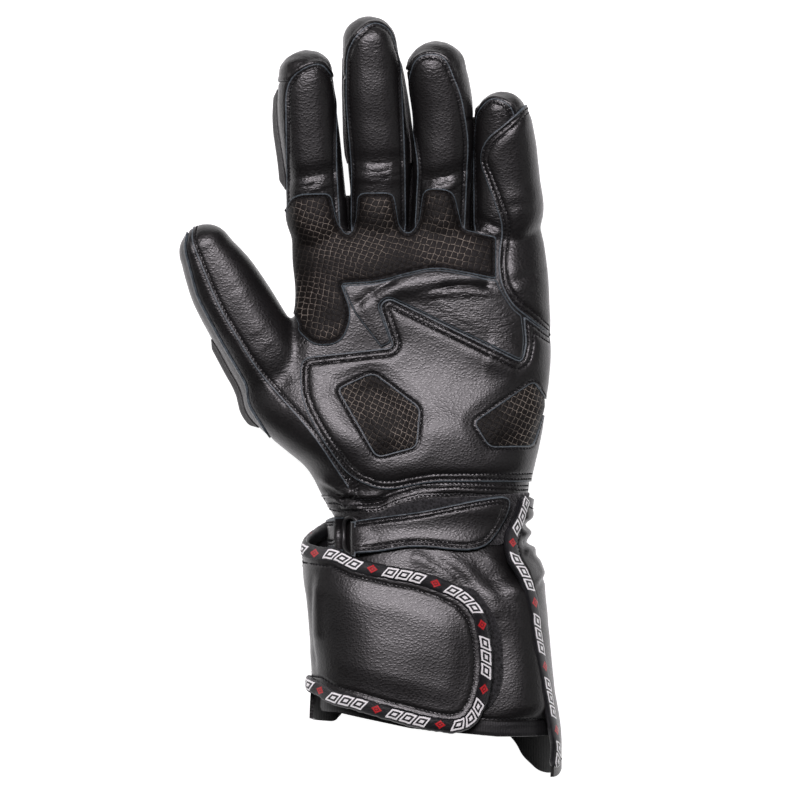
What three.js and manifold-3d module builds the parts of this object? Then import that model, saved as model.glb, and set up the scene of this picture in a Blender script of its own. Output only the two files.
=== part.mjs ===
// A left-hand motorcycle glove of leather with a long gauntlet cuff, lying on its back, palm up.
// Millimetres. +Y runs to the fingertips, +X to the little finger, +Z up from the surface it lies on.
// The origin is on that surface, under the middle of the glove.
import * as THREE from "three";
import { LoftGeometry } from "three/addons/geometries/LoftGeometry.js";
import { mergeVertices } from "three/addons/utils/BufferGeometryUtils.js";
import Module from "manifold-3d";

const wasm = await Module();
wasm.setup();

// Driving dimensions
const LEATHER = 2.0; // wall of the glove's own leather
const GAP = 0.3; // between two pieces that touch
const LAYER_GAP = 0.35; // between a sewn-on panel and the leather under it
const PANEL = 1.6; // thickness of a sewn-on panel
const HEEL_PANEL = 1.9;
const PAD = 1.5;
const LOOP_PATCH = 1.2;
const STRAP = 2.0;
const GUARD = 1.8;
const FLAP_LIFT = 4.6; // the gauntlet's outer face above the inner sleeve's
const SPLIT_Z = 19; // height of the side seam between palm and back
const HAND_END = -42; // where the palm leather ends and the cuff's front begins
const BACK_END = -64; // where the back leather ends, inside the cuff
const FINGER_START = 69; // seam across the finger bases
const HEM_BAND = 6; // width of the cuff front's hem band
const THUMB_BACK_TOP = 15; // height of the seam between the thumb's back panel and the others
const CUFF_SIDE_Z = 30; // height at which the flap leaves the cuff's back on the thumb's side
const BINDING = { halfWidth: 3.1, halfHeight: 1.7, sink: 0.9, sides: 8 };
const RING_WIRE = 0.95; // radius
const MESH_TOLERANCE = 0.16; // edges shorter than this are closed up
const HIGH = 90; // above everything
const DEEP = -20; // below everything
const FAR = 220; // beyond everything

// Roundness of the sections: the power of their ovals and the corners in a ring
const HAND_POWER = 2.6;
const HAND_SIDES = 17;
const GAUNTLET_POWER = 2.7;
const GAUNTLET_SIDES = 16;
const FINGER_POWER = 2.3;
const FINGER_SIDES = 10;
const TIP_ROUNDS = [0.5, 0.82, 0.98]; // where a fingertip's last sections lie, as parts of its length

// Sections of the palm and the inner sleeve, from the finger bases down to the cuff's mouth.
// hollow is how far the middle of the palm side dips between the two mounds.
const HAND_COLUMNS = ["y", "left", "right", "low", "high", "hollow"];
const HAND = [
  [71, -33.5, 69.2, 8, 32, 0],
  [58, -33, 71, 4.6, 36, 1.5],
  [33, -33.4, 72.8, 0.8, 39, 4.5],
  [20, -43.5, 73.2, -1.4, 41.5, 4.5],
  [8, -52, 72.4, -1.6, 43.5, 3.5],
  [-4, -55.5, 71.5, -1.6, 45.2, 2.5],
  [-18, -43, 69, -1.4, 46.3, 1.5],
  [-29, -29, 66.4, 0.4, 45.4, 0.6],
  [-42, -21.5, 63, 2.9, 44, 0],
  [-55, -14.5, 60, 3, 45, 0],
  [-68, -15.8, 62, 3, 49.6, 0],
  [-86, -18.5, 66.5, 3, 54, 0],
  [-112, -20.6, 69.6, 3, 56, 0],
  [-150, -23, 74, 3, 57, 0],
];

// Sections of the gauntlet's outer layer, which stands off the inner sleeve.
const GAUNTLET_COLUMNS = ["y", "left", "right", "low", "high"];
const GAUNTLET = [
  [-35, -26, 67.6, -1.2, 44.7 + FLAP_LIFT],
  [-45, -27, 66.9, -1.2, 44.2 + FLAP_LIFT],
  [-54, -28.5, 64.8, -1.2, 44.9 + FLAP_LIFT],
  [-62, -29.5, 66, -1.2, 47.5 + FLAP_LIFT],
  [-70, -30, 70.4, -1.2, 50.1 + FLAP_LIFT],
  [-86, -27.3, 72.2, -1.2, 54 + FLAP_LIFT],
  [-112, -26.4, 74.5, -1.2, 56 + FLAP_LIFT],
  [-138, -26.8, 78.2, -1.2, 56.7 + FLAP_LIFT],
  [-170, -27.5, 80, -1.2, 57.3 + FLAP_LIFT],
];

// Sections of each finger from its base to where the tip begins to round.
// turn is the section's lean in degrees, and tip the end point of the rounded tip.
const FINGER_COLUMNS = ["x", "y", "z", "halfWidth", "halfHeight", "turn"];
const FINGERS = {
  index: {
    tip: [-27.4, 145.3, 29.8],
    sections: [
      [-21, 60, 20, 7, 9, 0],
      [-23.4, 72, 20.5, 12.4, 13.3, 2],
      [-24, 84, 21.2, 12.6, 12.6, 3],
      [-24.9, 94, 22.2, 12.5, 13.2, 3],
      [-27.7, 120, 25.8, 12.5, 12.5, 1],
      [-28.3, 136, 28.4, 11.2, 11.4, 0],
    ],
  },
  middle: {
    tip: [-2, 159.3, 31.5],
    sections: [
      [2.4, 60, 20.5, 7, 9, 0],
      [2.6, 74, 21, 12.2, 13.4, 0],
      [2.9, 86, 21.8, 12.6, 12.7, 1],
      [2.6, 96, 22.8, 13.1, 13.3, 1],
      [0.2, 128, 27.2, 12.8, 12.8, 2],
      [-1.3, 148, 30.2, 11.4, 11.6, 2],
    ],
  },
  ring: {
    tip: [25.8, 148.9, 31.5],
    sections: [
      [27, 60, 20.5, 7, 9, 0],
      [28.5, 72, 21, 12.4, 13.2, -4],
      [29.2, 84, 21.8, 12.4, 12.6, -5],
      [29.7, 98, 23.2, 12.3, 13, -2],
      [30.1, 118, 26.2, 12.4, 12.5, 5],
      [26.9, 138, 29.8, 12.2, 11.4, 4],
    ],
  },
  little: {
    tip: [54, 127.8, 30.5],
    sections: [
      [53, 60, 20, 8, 9, 0],
      [55.7, 73, 20.6, 13.6, 12.7, 0],
      [55.4, 92, 22.4, 12.9, 12.3, 0],
      [54.7, 107, 25, 11.7, 11.8, 2],
      [54, 118.5, 27.6, 10.5, 10.8, 2],
    ],
  },
  thumb: {
    tip: [-75.2, 71.2, 27],
    sections: [
      [-35, -4, 22, 11.5, 11, 28],
      [-42.4, 11, 22, 15.8, 15.5, 28],
      [-54.4, 33, 22.7, 16, 15.2, 28],
      [-64.7, 51, 24.2, 14.5, 13.4, 28],
      [-70.3, 61, 25.2, 11.5, 11.8, 28],
    ],
  },
};

// Plan outlines of the panels, a row for each corner: x, y and how far its rounding reaches.
const FINGER_FRONTS = {
  index: [
    [-35.5, 50, 0],
    [-36.6, 133, 8],
    [-22.6, 141, 7],
    [-15.7, 133, 4],
    [-15.4, 96, 4],
    [-12.8, 50, 0],
  ],
  middle: [
    [-9, 50, 0],
    [-8.8, 96, 4],
    [-11.2, 124, 6],
    [-10.8, 147, 6],
    [-0.5, 157.5, 6],
    [7.4, 154.2, 4],
    [11.2, 142, 6],
    [13.2, 100, 4],
    [13.6, 50, 0],
  ],
  ring: [
    [16.8, 50, 0],
    [19.2, 96, 6],
    [14.2, 132, 6],
    [18, 143, 6],
    [30, 143.4, 6],
    [37, 126, 6],
    [39.9, 108, 6],
    [37.4, 50, 0],
  ],
  little: [
    [42.8, 50, 0],
    [42.6, 118, 4],
    [49.5, 126.2, 5],
    [58.5, 121.6, 4],
    [62.6, 100, 4],
    [63.2, 50, 0],
  ],
};
const GRIP = [
  [-35.8, 85, 0],
  [-18, 85.3, 3],
  [-15.2, 72, 3],
  [-10.3, 66.8, 3],
  [-6.9, 72, 3],
  [-6, 85.4, 3.5],
  [8.6, 85.4, 3.5],
  [10.6, 71, 3],
  [14.8, 67.4, 3],
  [19.6, 72, 3],
  [21.4, 87, 4],
  [33.6, 87, 5],
  [37.4, 69.6, 3],
  [51.6, 67, 0],
  [51.6, 48.9, 0],
  [26, 53.6, 6],
  [0, 47.5, 0],
  [-13, 46.8, 0],
  [-8.4, 34, 6],
  [-13, 22, 7],
  [-24, 20.4, 8],
  [-35.8, 30, 3],
];
const LITTLE_SIDE = [
  [67, 123.5, 0],
  [56, 112, 4],
  [46.2, 104, 5],
  [46, 97, 4],
  [54.4, 71.5, 4],
  [52.2, 57, 6],
  [53.4, 46, 6],
  [58.6, 37.6, 3],
  [79, 21.6, 0],
  [90, 21.6, 0],
  [90, 123.5, 0],
];
const GUSSET = [
  [-12.8, 46.3, 0],
  [0, 47, 0],
  [26, 53.1, 6],
  [51.9, 48.3, 0],
  [53.1, 45, 3],
  [58.2, 36.8, 2],
  [62, 33.6, 0],
  [63.1, 24, 3],
  [61.8, 14.8, 2.5],
  [6.2, 42, 3],
  [2, 38.2, 2],
  [8, 22.6, 1.5],
  [3.4, 20.4, 0],
  [-7.8, 35, 0],
];
const HEEL = [
  [-30.2, 16, 5],
  [8.6, 20.3, 2.5],
  [2.5, 38.2, 2.5],
  [6.6, 41.4, 2.5],
  [62, 14.2, 3],
  [63.8, 22, 2],
  [62.8, 33.8, 1],
  [79, 21, 0],
  [90, 21, 0],
  [90, -36, 0],
  [24, -35.8, 6],
  [4, -40, 8],
  [-10, -33.4, 6],
  [-22.4, -16.5, 6],
  [-30.4, -1, 8],
];
const THUMB_WINDOW = [
  [-14.2, 2.6, 2],
  [0, 9.2, 3],
  [19.2, -5.4, 2.5],
  [17.9, -21, 2.5],
  [1.8, -25.2, 3],
];
const LITTLE_WINDOW = [
  [42.8, -11.3, 2],
  [66.9, 5.7, 2],
  [72.7, -2.5, 3],
  [66.5, -20.6, 2.5],
  [48.8, -20.9, 2.5],
];
const STRAP_OUTLINE = [
  [-8.1, -53, 0],
  [20, -48.6, 4],
  [52, -39.9, 4.5],
  [56.2, -45.6, 3],
  [50, -59.4, 6],
  [40, -65.8, 6],
  [17, -63.4, 4],
  [-8.1, -68.4, 0],
];
const TAB_OUTLINE = [
  [-60, -50.4, 0],
  [-14.7, -50.4, 2],
  [-14.7, -64.4, 2],
  [-60, -64.4, 0],
];
const WRIST_PATCH = [
  [33, -45, 0],
  [60.5, -42.4, 2],
  [59.5, -52, 3],
  [55, -62.5, 3],
  [33, -64.5, 0],
];
const FLAP_PATCH = [
  [20, -80, 0],
  [42, -79, 6],
  [54, -96, 10],
  [54.6, -121, 8],
  [47, -132.4, 6],
  [20, -128, 0],
];
// The thumb's part of the leather, its front panel in it, and the panel on its back edge.
const THUMB_REGION = [
  [-100, 90, 0],
  [-56, 90, 0],
  [-31, 29.5, 0],
  [-32, 14, 6],
  [-30.5, -3, 8],
  [-22.4, -18, 6],
  [-10, -34, 0],
  [-10, -41.7, 0],
  [-45, -41.7, 0],
  [-100, 0, 0],
];
const THUMB_FRONT = [
  [-76.5, 66, 4],
  [-65, 37.5, 10],
  [-48.5, 10.5, 10],
  [-25, -16, 10],
  [-8, -41.7, 0],
  [90, -41.7, 0],
  [90, 120, 0],
  [-64, 120, 0],
];
const THUMB_GUARD = [
  [-100, 24, 0],
  [-56, 24, 4],
  [-45, 0, 4],
  [-47, -14, 4],
  [-100, -14, 0],
];

// The flap's bound edge in plan, from its top left corner round to its bottom left corner.
const FLAP_EDGE = [
  [-24.8, -65.7],
  [-15.5, -66.8],
  [-7.6, -70.4],
  [7.6, -73.9],
  [18, -75.8],
  [29, -79.4],
  [38.2, -84.2],
  [43.8, -91],
  [46, -99.5],
  [47, -109.5],
  [46.4, -120],
  [43.8, -129],
  [39.6, -135],
  [34, -137],
  [26.5, -136.4],
  [5.3, -131.3],
  [-7.6, -127.6],
  [-17.2, -125.2],
  [-22.6, -122],
];
// The collar's bound edge round the left side of the wrist, which runs on into the flap's.
const COLLAR_EDGE = [
  [-14.6, -53.4, 1.6],
  [-20.6, -57, 7.5],
  [-26, -60.4, 17],
  [-28.2, -62.8, 28],
  [-27.6, -64.6, 38.5],
];
// The bound edge of the cuff's back where it laps over the cuff's front on the right.
const RIGHT_EDGE = [
  [63.8, -42],
  [61.2, -51],
  [57.6, -60],
  [58.6, -67.4],
  [62.6, -74.5],
  [66, -84],
  [68.2, -99.5],
  [70.2, -111],
  [72.2, -122],
  [74.6, -135.5],
  [76.4, -148],
  [75.6, -155.4],
];
// The cuff back's whole plan: its top rim round the wrist and its lower hem.
const BACK_PLAN = [
  [-60, -63.5, 0],
  [-29.5, -63.5, 0],
  [-20, -57, 4],
  [-5, -50.5, 6],
  [30, -44, 6],
  [67, -38.5, 0],
  [90, -38.5, 0],
  [90, -150, 0],
  [78.6, -155.6, 2],
  [73, -159.6, 2],
  [63, -149.5, 4],
  [54, -140.8, 4],
  [20, -136, 6],
  [-12, -132, 2],
  [-17, -137.8, 2],
  [-26, -136.6, 2],
  [-28.7, -132.5, 2],
  [-60, -132.5, 0],
];

// The lower edge of the cuff's front, from left to right.
const FRONT_HEM = [
  [-60, -131],
  [-15, -132],
  [16, -138.3],
  [52, -141.7],
  [90, -142],
];

// Folds and gathers raised on the leather: route points, half width and height.
const PALM_FOLDS = [{ half: 2, rise: 1.8, route: [[8, 45], [18, 47.4], [32, 46], [46, 43]] }];
const SIDE_FOLDS = [{ half: 1.8, rise: 1.3, route: [[59, 43], [64, 46], [69, 49.5]] }];
const WRIST_GATHERS = [
  { half: 1.6, rise: 1.5, route: [[8, -69], [18, -72], [28, -74.5]] },
  { half: 1.7, rise: 1.7, route: [[20, -68.5], [30, -72], [38, -75]] },
  { half: 1.7, rise: 1.7, route: [[31, -68.5], [42, -73], [51, -79.5]] },
  { half: 1.6, rise: 1.4, route: [[43, -68], [51, -74], [57, -82]] },
];

// Turns table rows into objects with the columns' names.
function table(columns, rows) {
  return rows.map((row) => Object.fromEntries(columns.map((name, i) => [name, row[i]])));
}

// A closed geometry as a solid.
function solid(geometry) {
  const bare = new THREE.BufferGeometry();
  bare.setAttribute("position", geometry.getAttribute("position"));
  bare.setIndex(geometry.getIndex());
  const merged = mergeVertices(bare, 1e-4);
  const corners = Array.from(merged.getIndex().array);
  const faces = [];
  for (let i = 0; i < corners.length; i += 3) {
    const [a, b, c] = corners.slice(i, i + 3);
    if (a !== b && b !== c && c !== a) faces.push(a, b, c);
  }
  const mesh = new wasm.Mesh({
    numProp: 3,
    tolerance: MESH_TOLERANCE,
    vertProperties: merged.getAttribute("position").array,
    triVerts: new Uint32Array(faces),
  });
  return new wasm.Manifold(mesh);
}

// A ring of points round a centre: a rounded oval, squarer as power grows.
function ring({ centre, side, up, halfWidth, halfHeight, power = 2.4, hollow = 0 }, sides) {
  return Array.from({ length: sides }, (_, i) => {
    const angle = (2 * Math.PI * i) / sides;
    const across = Math.sign(Math.cos(angle)) * Math.abs(Math.cos(angle)) ** (2 / power);
    const rise = Math.sign(Math.sin(angle)) * Math.abs(Math.sin(angle)) ** (2 / power);
    const dip = rise > 0 ? hollow * (1 - across ** 2) ** 2 : 0;
    return centre
      .clone()
      .addScaledVector(side, across * halfWidth)
      .addScaledVector(up, rise * halfHeight - dip);
  });
}

// The middle of a ring of points.
function centreOf(points) {
  const sum = new THREE.Vector3();
  for (const point of points) sum.add(point);
  return sum.divideScalar(points.length);
}

// A closed skin through rings, whose points are put in the order that faces it outwards.
function loft(rings, capped = true) {
  const [first, second] = rings;
  const forward = centreOf(second).sub(centreOf(first));
  const turn = new THREE.Vector3().crossVectors(
    first[0].clone().sub(centreOf(first)),
    first[Math.floor(first.length / 4)].clone().sub(centreOf(first)),
  );
  const ordered = turn.dot(forward) > 0 ? rings : rings.map((points) => points.toReversed());
  return solid(new LoftGeometry(ordered, { capStart: capped, capEnd: capped }));
}

const UP = new THREE.Vector3(0, 0, 1);
const ACROSS = new THREE.Vector3(1, 0, 0);

// The hand or the gauntlet through its table's sections, grown by a margin to the sides and forwards.
function sleeve(rows, grow, sides, power) {
  return loft(
    rows.map(({ y, left, right, low, high, hollow = 0 }, i) =>
      ring(
        {
          centre: new THREE.Vector3((left + right) / 2, i === 0 ? y + grow : y, (low + high) / 2),
          side: ACROSS,
          up: UP,
          halfWidth: (right - left) / 2 + grow,
          halfHeight: (high - low) / 2 + grow,
          power,
          hollow,
        },
        sides,
      ),
    ),
  );
}

// A finger with its rounded tip, grown by a margin.
function finger({ tip, sections }, grow) {
  const rows = table(FINGER_COLUMNS, sections);
  const last = rows.at(-1);
  const base = new THREE.Vector3(last.x, last.y, last.z);
  const reach = new THREE.Vector3(...tip).sub(base);
  const length = reach.length();
  reach.normalize();
  const straight = rows.map((row) => ({
    centre: new THREE.Vector3(row.x, row.y, row.z),
    shrink: 1,
    ...row,
  }));
  const rounded = TIP_ROUNDS.map((part) => ({
    centre: base.clone().addScaledVector(reach, part * (length + grow)),
    shrink: Math.sqrt(1 - part ** 2),
    ...last,
  }));
  return loft(
    [...straight, ...rounded].map(({ centre, shrink, halfWidth, halfHeight, turn }) => {
      const lean = THREE.MathUtils.degToRad(turn);
      return ring(
        {
          centre,
          side: new THREE.Vector3(Math.cos(lean), Math.sin(lean), 0),
          up: UP,
          halfWidth: (halfWidth + grow) * shrink,
          halfHeight: (halfHeight + grow) * shrink,
          power: FINGER_POWER,
        },
        FINGER_SIDES,
      );
    }),
  );
}

// A plan outline whose corners are rounded, each by no more than it has room for.
function roundedShape(corners) {
  const points = corners.map(([x, y]) => new THREE.Vector2(x, y));
  const shape = new THREE.Shape();
  points.forEach((corner, i) => {
    const before = points.at(i - 1);
    const after = points[(i + 1) % points.length];
    const towards = (other) => {
      const reach = Math.min(corners[i][2], 0.45 * corner.distanceTo(other));
      return corner.clone().addScaledVector(other.clone().sub(corner).normalize(), reach);
    };
    const start = towards(before);
    const end = towards(after);
    if (i === 0) shape.moveTo(start.x, start.y);
    else shape.lineTo(start.x, start.y);
    if (corners[i][2] > 0) shape.quadraticCurveTo(corner.x, corner.y, end.x, end.y);
  });
  shape.closePath();
  return shape;
}

// The outline's points moved outwards by a margin.
function grown(points, margin) {
  const turned = THREE.ShapeUtils.isClockWise(points) ? -margin : margin;
  return points.map((point, i) => {
    const before = points.at(i - 1);
    const after = points[(i + 1) % points.length];
    const first = point.clone().sub(before).normalize();
    const second = after.clone().sub(point).normalize();
    const along = first.clone().add(second).normalize();
    const reach = turned / Math.max(0.5, along.dot(first));
    return new THREE.Vector2(point.x + along.y * reach, point.y - along.x * reach);
  });
}

// A plan outline, grown by a margin, carried up from one height to another.
function prism(corners, { grow = 0, low = DEEP, high = HIGH } = {}) {
  const all = roundedShape(corners).getPoints(2);
  const points = all.filter((point, i) => point.distanceTo(all.at(i - 1)) > 1e-3);
  const shape = new THREE.Shape(grown(points, grow));
  const geometry = new THREE.ExtrudeGeometry(shape, { depth: high - low, bevelEnabled: false });
  return solid(geometry.translate(0, 0, low));
}

// A plan point whose corner stays sharp.
const sharp = ([x, y]) => [x, y, 0];

// A box between two corners.
function block([x0, x1], [y0, y1], [z0, z1]) {
  const geometry = new THREE.BoxGeometry(x1 - x0, y1 - y0, z1 - z0);
  return solid(geometry.translate((x0 + x1) / 2, (y0 + y1) / 2, (z0 + z1) / 2));
}

const WIDE = [-FAR, FAR];
const above = (z) => block(WIDE, WIDE, [z, HIGH]);
const below = (z) => block(WIDE, WIDE, [DEEP, z]);
const between = (y0, y1) => block(WIDE, [y0, y1], [DEEP, HIGH]);

// The height of a sleeve's outer face, grown by a margin, over a point in plan.
function heightOn(rows, power, [x, y], grow = 0) {
  const next = Math.max(1, rows.findIndex((row) => row.y <= y));
  const [before, after] = [rows[next - 1], rows[next]];
  const part = (before.y - y) / (before.y - after.y);
  const at = (name) => THREE.MathUtils.lerp(before[name], after[name], part);
  const half = (at("right") - at("left")) / 2 + grow;
  const across = Math.min(0.98, Math.abs(x - (at("left") + at("right")) / 2) / half);
  const rise = (at("high") - at("low")) / 2 + grow;
  const dip = (at("hollow") || 0) * (1 - across ** 2) ** 2;
  return (at("low") + at("high")) / 2 + rise * (1 - across ** power) ** (1 / power) - dip;
}

// An oval tube along points, its wide side level, or a closed hoop through them.
function tube(points, { halfWidth, halfHeight, sides, steps, closed = false }) {
  const curve = new THREE.CatmullRomCurve3(points, closed);
  const rings = Array.from({ length: closed ? steps : steps + 1 }, (_, i) => {
    const tangent = curve.getTangentAt(i / steps);
    const side = new THREE.Vector3().crossVectors(tangent, UP).normalize();
    const up = new THREE.Vector3().crossVectors(side, tangent);
    return ring({ centre: curve.getPointAt(i / steps), side, up, halfWidth, halfHeight }, sides);
  });
  return closed ? loft([...rings, rings[0]], false) : loft(rings);
}

// Folds raised on a piece: oval tubes that run half sunk along the surface under them.
function withFolds(made, folds, onSurface) {
  let folded = made;
  for (const { half, rise, route } of folds) {
    const points = route.map((point) => onSurface(point));
    folded = folded.add(tube(points, { halfWidth: half, halfHeight: rise, sides: 6, steps: 4 }));
  }
  return folded;
}

const HAND_ROWS = table(HAND_COLUMNS, HAND);
const GAUNTLET_ROWS = table(GAUNTLET_COLUMNS, GAUNTLET);

// The whole glove's outside without its outer cuff, grown by a margin.
// A negative margin gives the hollow inside, which stays one wall above the surface it lies on.
function glove(grow) {
  let made = sleeve(HAND_ROWS, grow, HAND_SIDES, HAND_POWER);
  for (const each of Object.values(FINGERS)) made = made.add(finger(each, grow));
  return made.intersect(above(Math.max(0, -grow)));
}

function gauntlet(grow) {
  return sleeve(GAUNTLET_ROWS, grow, GAUNTLET_SIDES, GAUNTLET_POWER).intersect(above(Math.max(0, -grow)));
}

// A layer over the glove from one height above its leather to another.
function layer(from, thick) {
  return glove(from + thick).subtract(glove(from));
}

const leather = glove(0).subtract(glove(-LEATHER));
const panelLayer = layer(LAYER_GAP, PANEL);
const heelLayer = layer(LAYER_GAP, HEEL_PANEL);
const padLayer = layer(LAYER_GAP, PAD);
const patchLayer = layer(LAYER_GAP, LOOP_PATCH);
const strapLayer = layer(2 * LAYER_GAP + LOOP_PATCH, STRAP);
const guardLayer = layer(LAYER_GAP, GUARD);
const outerWall = gauntlet(0).subtract(gauntlet(-LEATHER));
const insideOuterWall = gauntlet(-LEATHER - GAP);

const group = new THREE.Group();

// Leather and trim, with their colour and roughness.
const MATERIALS = {
  leather: { color: 0x1c1c1d, roughness: 0.48 },
  grip: { color: 0x2a2523, roughness: 0.72 },
  loop: { color: 0x141416, roughness: 0.95 },
  binding: { color: 0x18181b, roughness: 0.4 },
  guard: { color: 0x151516, roughness: 0.55 },
  plastic: { color: 0x111113, roughness: 0.35 },
};

// Adds a solid to the group as a named mesh, without the crumbs that a cut may leave.
function add(name, made, finish) {
  const bodies = made.decompose().sort((a, b) => b.volume() - a.volume());
  const { vertProperties, triVerts } = bodies[0].getMesh();
  const geometry = new THREE.BufferGeometry();
  geometry.setAttribute("position", new THREE.BufferAttribute(new Float32Array(vertProperties), 3));
  geometry.setIndex(new THREE.BufferAttribute(new Uint32Array(triVerts), 1));
  geometry.computeVertexNormals();
  const mesh = new THREE.Mesh(geometry, new THREE.MeshStandardMaterial(MATERIALS[finish]));
  mesh.name = name;
  group.add(mesh);
}

// Fingers
const fingerLeather = leather.intersect(between(FINGER_START, FAR)).subtract(prism(THUMB_REGION));
const fingerNames = ["index", "middle", "ring", "little"];

// Everything above a plane that climbs with the fingers.
const CLIMB = 0.12; // per millimetre
const CLIMB_SPAN = [50, 170]; // from under the finger bases to past the tips
function aboveClimb(startZ) {
  const [from, to] = CLIMB_SPAN;
  const lowAt = (y) => startZ + (y - FINGER_START) * CLIMB;
  const profile = new THREE.Shape();
  profile.moveTo(from, lowAt(from));
  profile.lineTo(to, lowAt(to));
  profile.lineTo(to, HIGH);
  profile.lineTo(from, HIGH);
  const geometry = new THREE.ExtrudeGeometry(profile, { depth: 2 * FAR, bevelEnabled: false });
  return solid(geometry.rotateX(Math.PI / 2).rotateZ(Math.PI / 2).translate(-FAR, 0, 0));
}

// The side strips reach further down the finger than the front panels do.
const STRIP_LOW = 14;
const FRONT_LOW = 21;
const regionAbove = (low, plan, grow) => aboveClimb(low - grow).intersect(prism(plan, { grow }));
const stripRegion = (name, grow) => regionAbove(STRIP_LOW, STRIPS[name], grow);
const frontRegion = (name, grow) => regionAbove(FRONT_LOW, FINGER_FRONTS[name], grow);

const STRIP_END_ROUND = 3;

// The plan of a strip from one finger's middle line to the next one's, ending short of the tips.
function crotchPlan(left, right, end) {
  const lineOf = (name) =>
    FINGERS[name].sections.map(([x, y]) => [x, y, 0]).filter(([, y]) => y < end);
  const [leftLine, rightLine] = [lineOf(left), lineOf(right)];
  const endOf = (line) => [line.at(-1)[0], end, STRIP_END_ROUND];
  return [...rightLine, endOf(rightLine), endOf(leftLine), ...leftLine.toReversed()];
}

const STRIPS = {
  fourchette_index_middle: crotchPlan("index", "middle", 134),
  fourchette_middle_ring: crotchPlan("middle", "ring", 137),
  fourchette_ring_little: crotchPlan("ring", "little", 116),
  index_side: [
    [-60, 50, 0],
    [-23, 50, 0],
    [-23.9, 72, 0],
    [-27.9, 110, 0],
    [-28.4, 132, STRIP_END_ROUND],
    [-60, 132, 0],
  ],
};
const stripNames = Object.keys(STRIPS);

// What is left of the finger leather once its fronts and strips are cut away, finger by finger.
let backs = fingerLeather;
for (const name of fingerNames) {
  add(name + "_front", fingerLeather.intersect(frontRegion(name, 0)), "leather");
  backs = backs.subtract(frontRegion(name, GAP));
}
const withoutFronts = backs;
stripNames.forEach((name, i) => {
  let made = withoutFronts.intersect(stripRegion(name, 0));
  for (const other of stripNames.slice(0, i)) made = made.subtract(stripRegion(other, GAP));
  add(name, made, "leather");
  backs = backs.subtract(stripRegion(name, GAP));
});

// The lines that part neighbouring fingers' backs, from the crotches to past the tips.
const BACK_SEAMS = [
  [[-10.3, 50], [-10.3, 74], [-11.4, 96], [-13.9, 128], [-15.6, 170]],
  [[15.4, 50], [15.4, 74], [16.6, 98], [15.2, 124], [12.6, 146], [12.6, 170]],
  [[41.5, 50], [41.5, 73], [42.2, 98], [42.7, 112], [42, 130], [42, 170]],
];
fingerNames.forEach((name, i) => {
  const left = BACK_SEAMS[i - 1] ?? [[-FAR, 50], [-FAR, 170]];
  const right = BACK_SEAMS[i] ?? [[FAR, 50], [FAR, 170]];
  const span = prism([...left, ...right.toReversed()].map(sharp), { grow: -GAP / 2 });
  add(name + "_back", backs.intersect(span), "leather");
});

// Thumb: a front panel, a side strip round its outer edge, and a back panel.
const thumbLeather = leather.intersect(prism(THUMB_REGION));
const thumbUpper = thumbLeather.intersect(above(THUMB_BACK_TOP + GAP));
add("thumb_front", thumbUpper.intersect(prism(THUMB_FRONT)), "leather");
add("thumb_side", thumbUpper.subtract(prism(THUMB_FRONT, { grow: GAP })), "leather");
add("thumb_back", thumbLeather.intersect(below(THUMB_BACK_TOP)), "leather");

// Palm and back of the hand
const notThumb = prism(THUMB_REGION, { grow: GAP });
const palmSpan = between(HAND_END + GAP, FINGER_START - GAP);
const backSpan = between(BACK_END, FINGER_START - GAP);
const handLeather = leather.subtract(notThumb);
add("palm_base", handLeather.intersect(palmSpan).intersect(above(SPLIT_Z + GAP)), "leather");
add("hand_back", handLeather.intersect(backSpan).intersect(below(SPLIT_Z)), "leather");

// Gives the point above a plan point that lies on the palm's or the sleeve's outer face, grown by lift
const onHand = (lift) => (point) =>
  new THREE.Vector3(...point, heightOn(HAND_ROWS, HAND_POWER, point, lift));

// Panels sewn on over the palm
const PANEL_LOW = 20;
const palmPanel = (outline) => panelLayer.intersect(prism(outline, { low: PANEL_LOW }));
const keepClear = (outline) => prism(outline, { grow: GAP, low: 0 });
const panelTop = onHand(LAYER_GAP + PANEL);
const overLayer = glove(LAYER_GAP);
const folded = (made, folds) => withFolds(made, folds, panelTop).subtract(overLayer);
add("little_side_panel", folded(palmPanel(LITTLE_SIDE), SIDE_FOLDS), "leather");
const grip = palmPanel(GRIP).subtract(keepClear(LITTLE_SIDE)).subtract(keepClear(THUMB_REGION));
add("grip_panel", grip, "grip");
const gusset = palmPanel(GUSSET)
  .subtract(keepClear(GRIP))
  .subtract(keepClear(LITTLE_SIDE))
  .subtract(keepClear(HEEL));
add("palm_gusset", folded(gusset, PALM_FOLDS), "leather");
const heel = heelLayer
  .intersect(prism(HEEL, { low: PANEL_LOW }))
  .subtract(keepClear(LITTLE_SIDE))
  .subtract(prism(THUMB_WINDOW))
  .subtract(prism(LITTLE_WINDOW));
add("heel_panel", heel, "leather");
const padIn = (window) => padLayer.intersect(prism(window, { grow: -GAP, low: PANEL_LOW }));
add("heel_pad_thumb", padIn(THUMB_WINDOW), "grip");
add("heel_pad_little", padIn(LITTLE_WINDOW), "grip");

// Padded panels on the back whose edges show beside the fingers
const FINGER_GUARD_TOP = 26;
const THUMB_GUARD_TOP = 24;
const GUARDS = {
  index_guard: block([-50, -18.5], [87, 129], [0, FINGER_GUARD_TOP]),
  middle_guard: block([-15, 12], [98, 142], [0, FINGER_GUARD_TOP]),
  thumb_guard: prism(THUMB_GUARD, { high: THUMB_GUARD_TOP }),
};
for (const [name, region] of Object.entries(GUARDS)) add(name, guardLayer.intersect(region), "guard");

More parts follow.
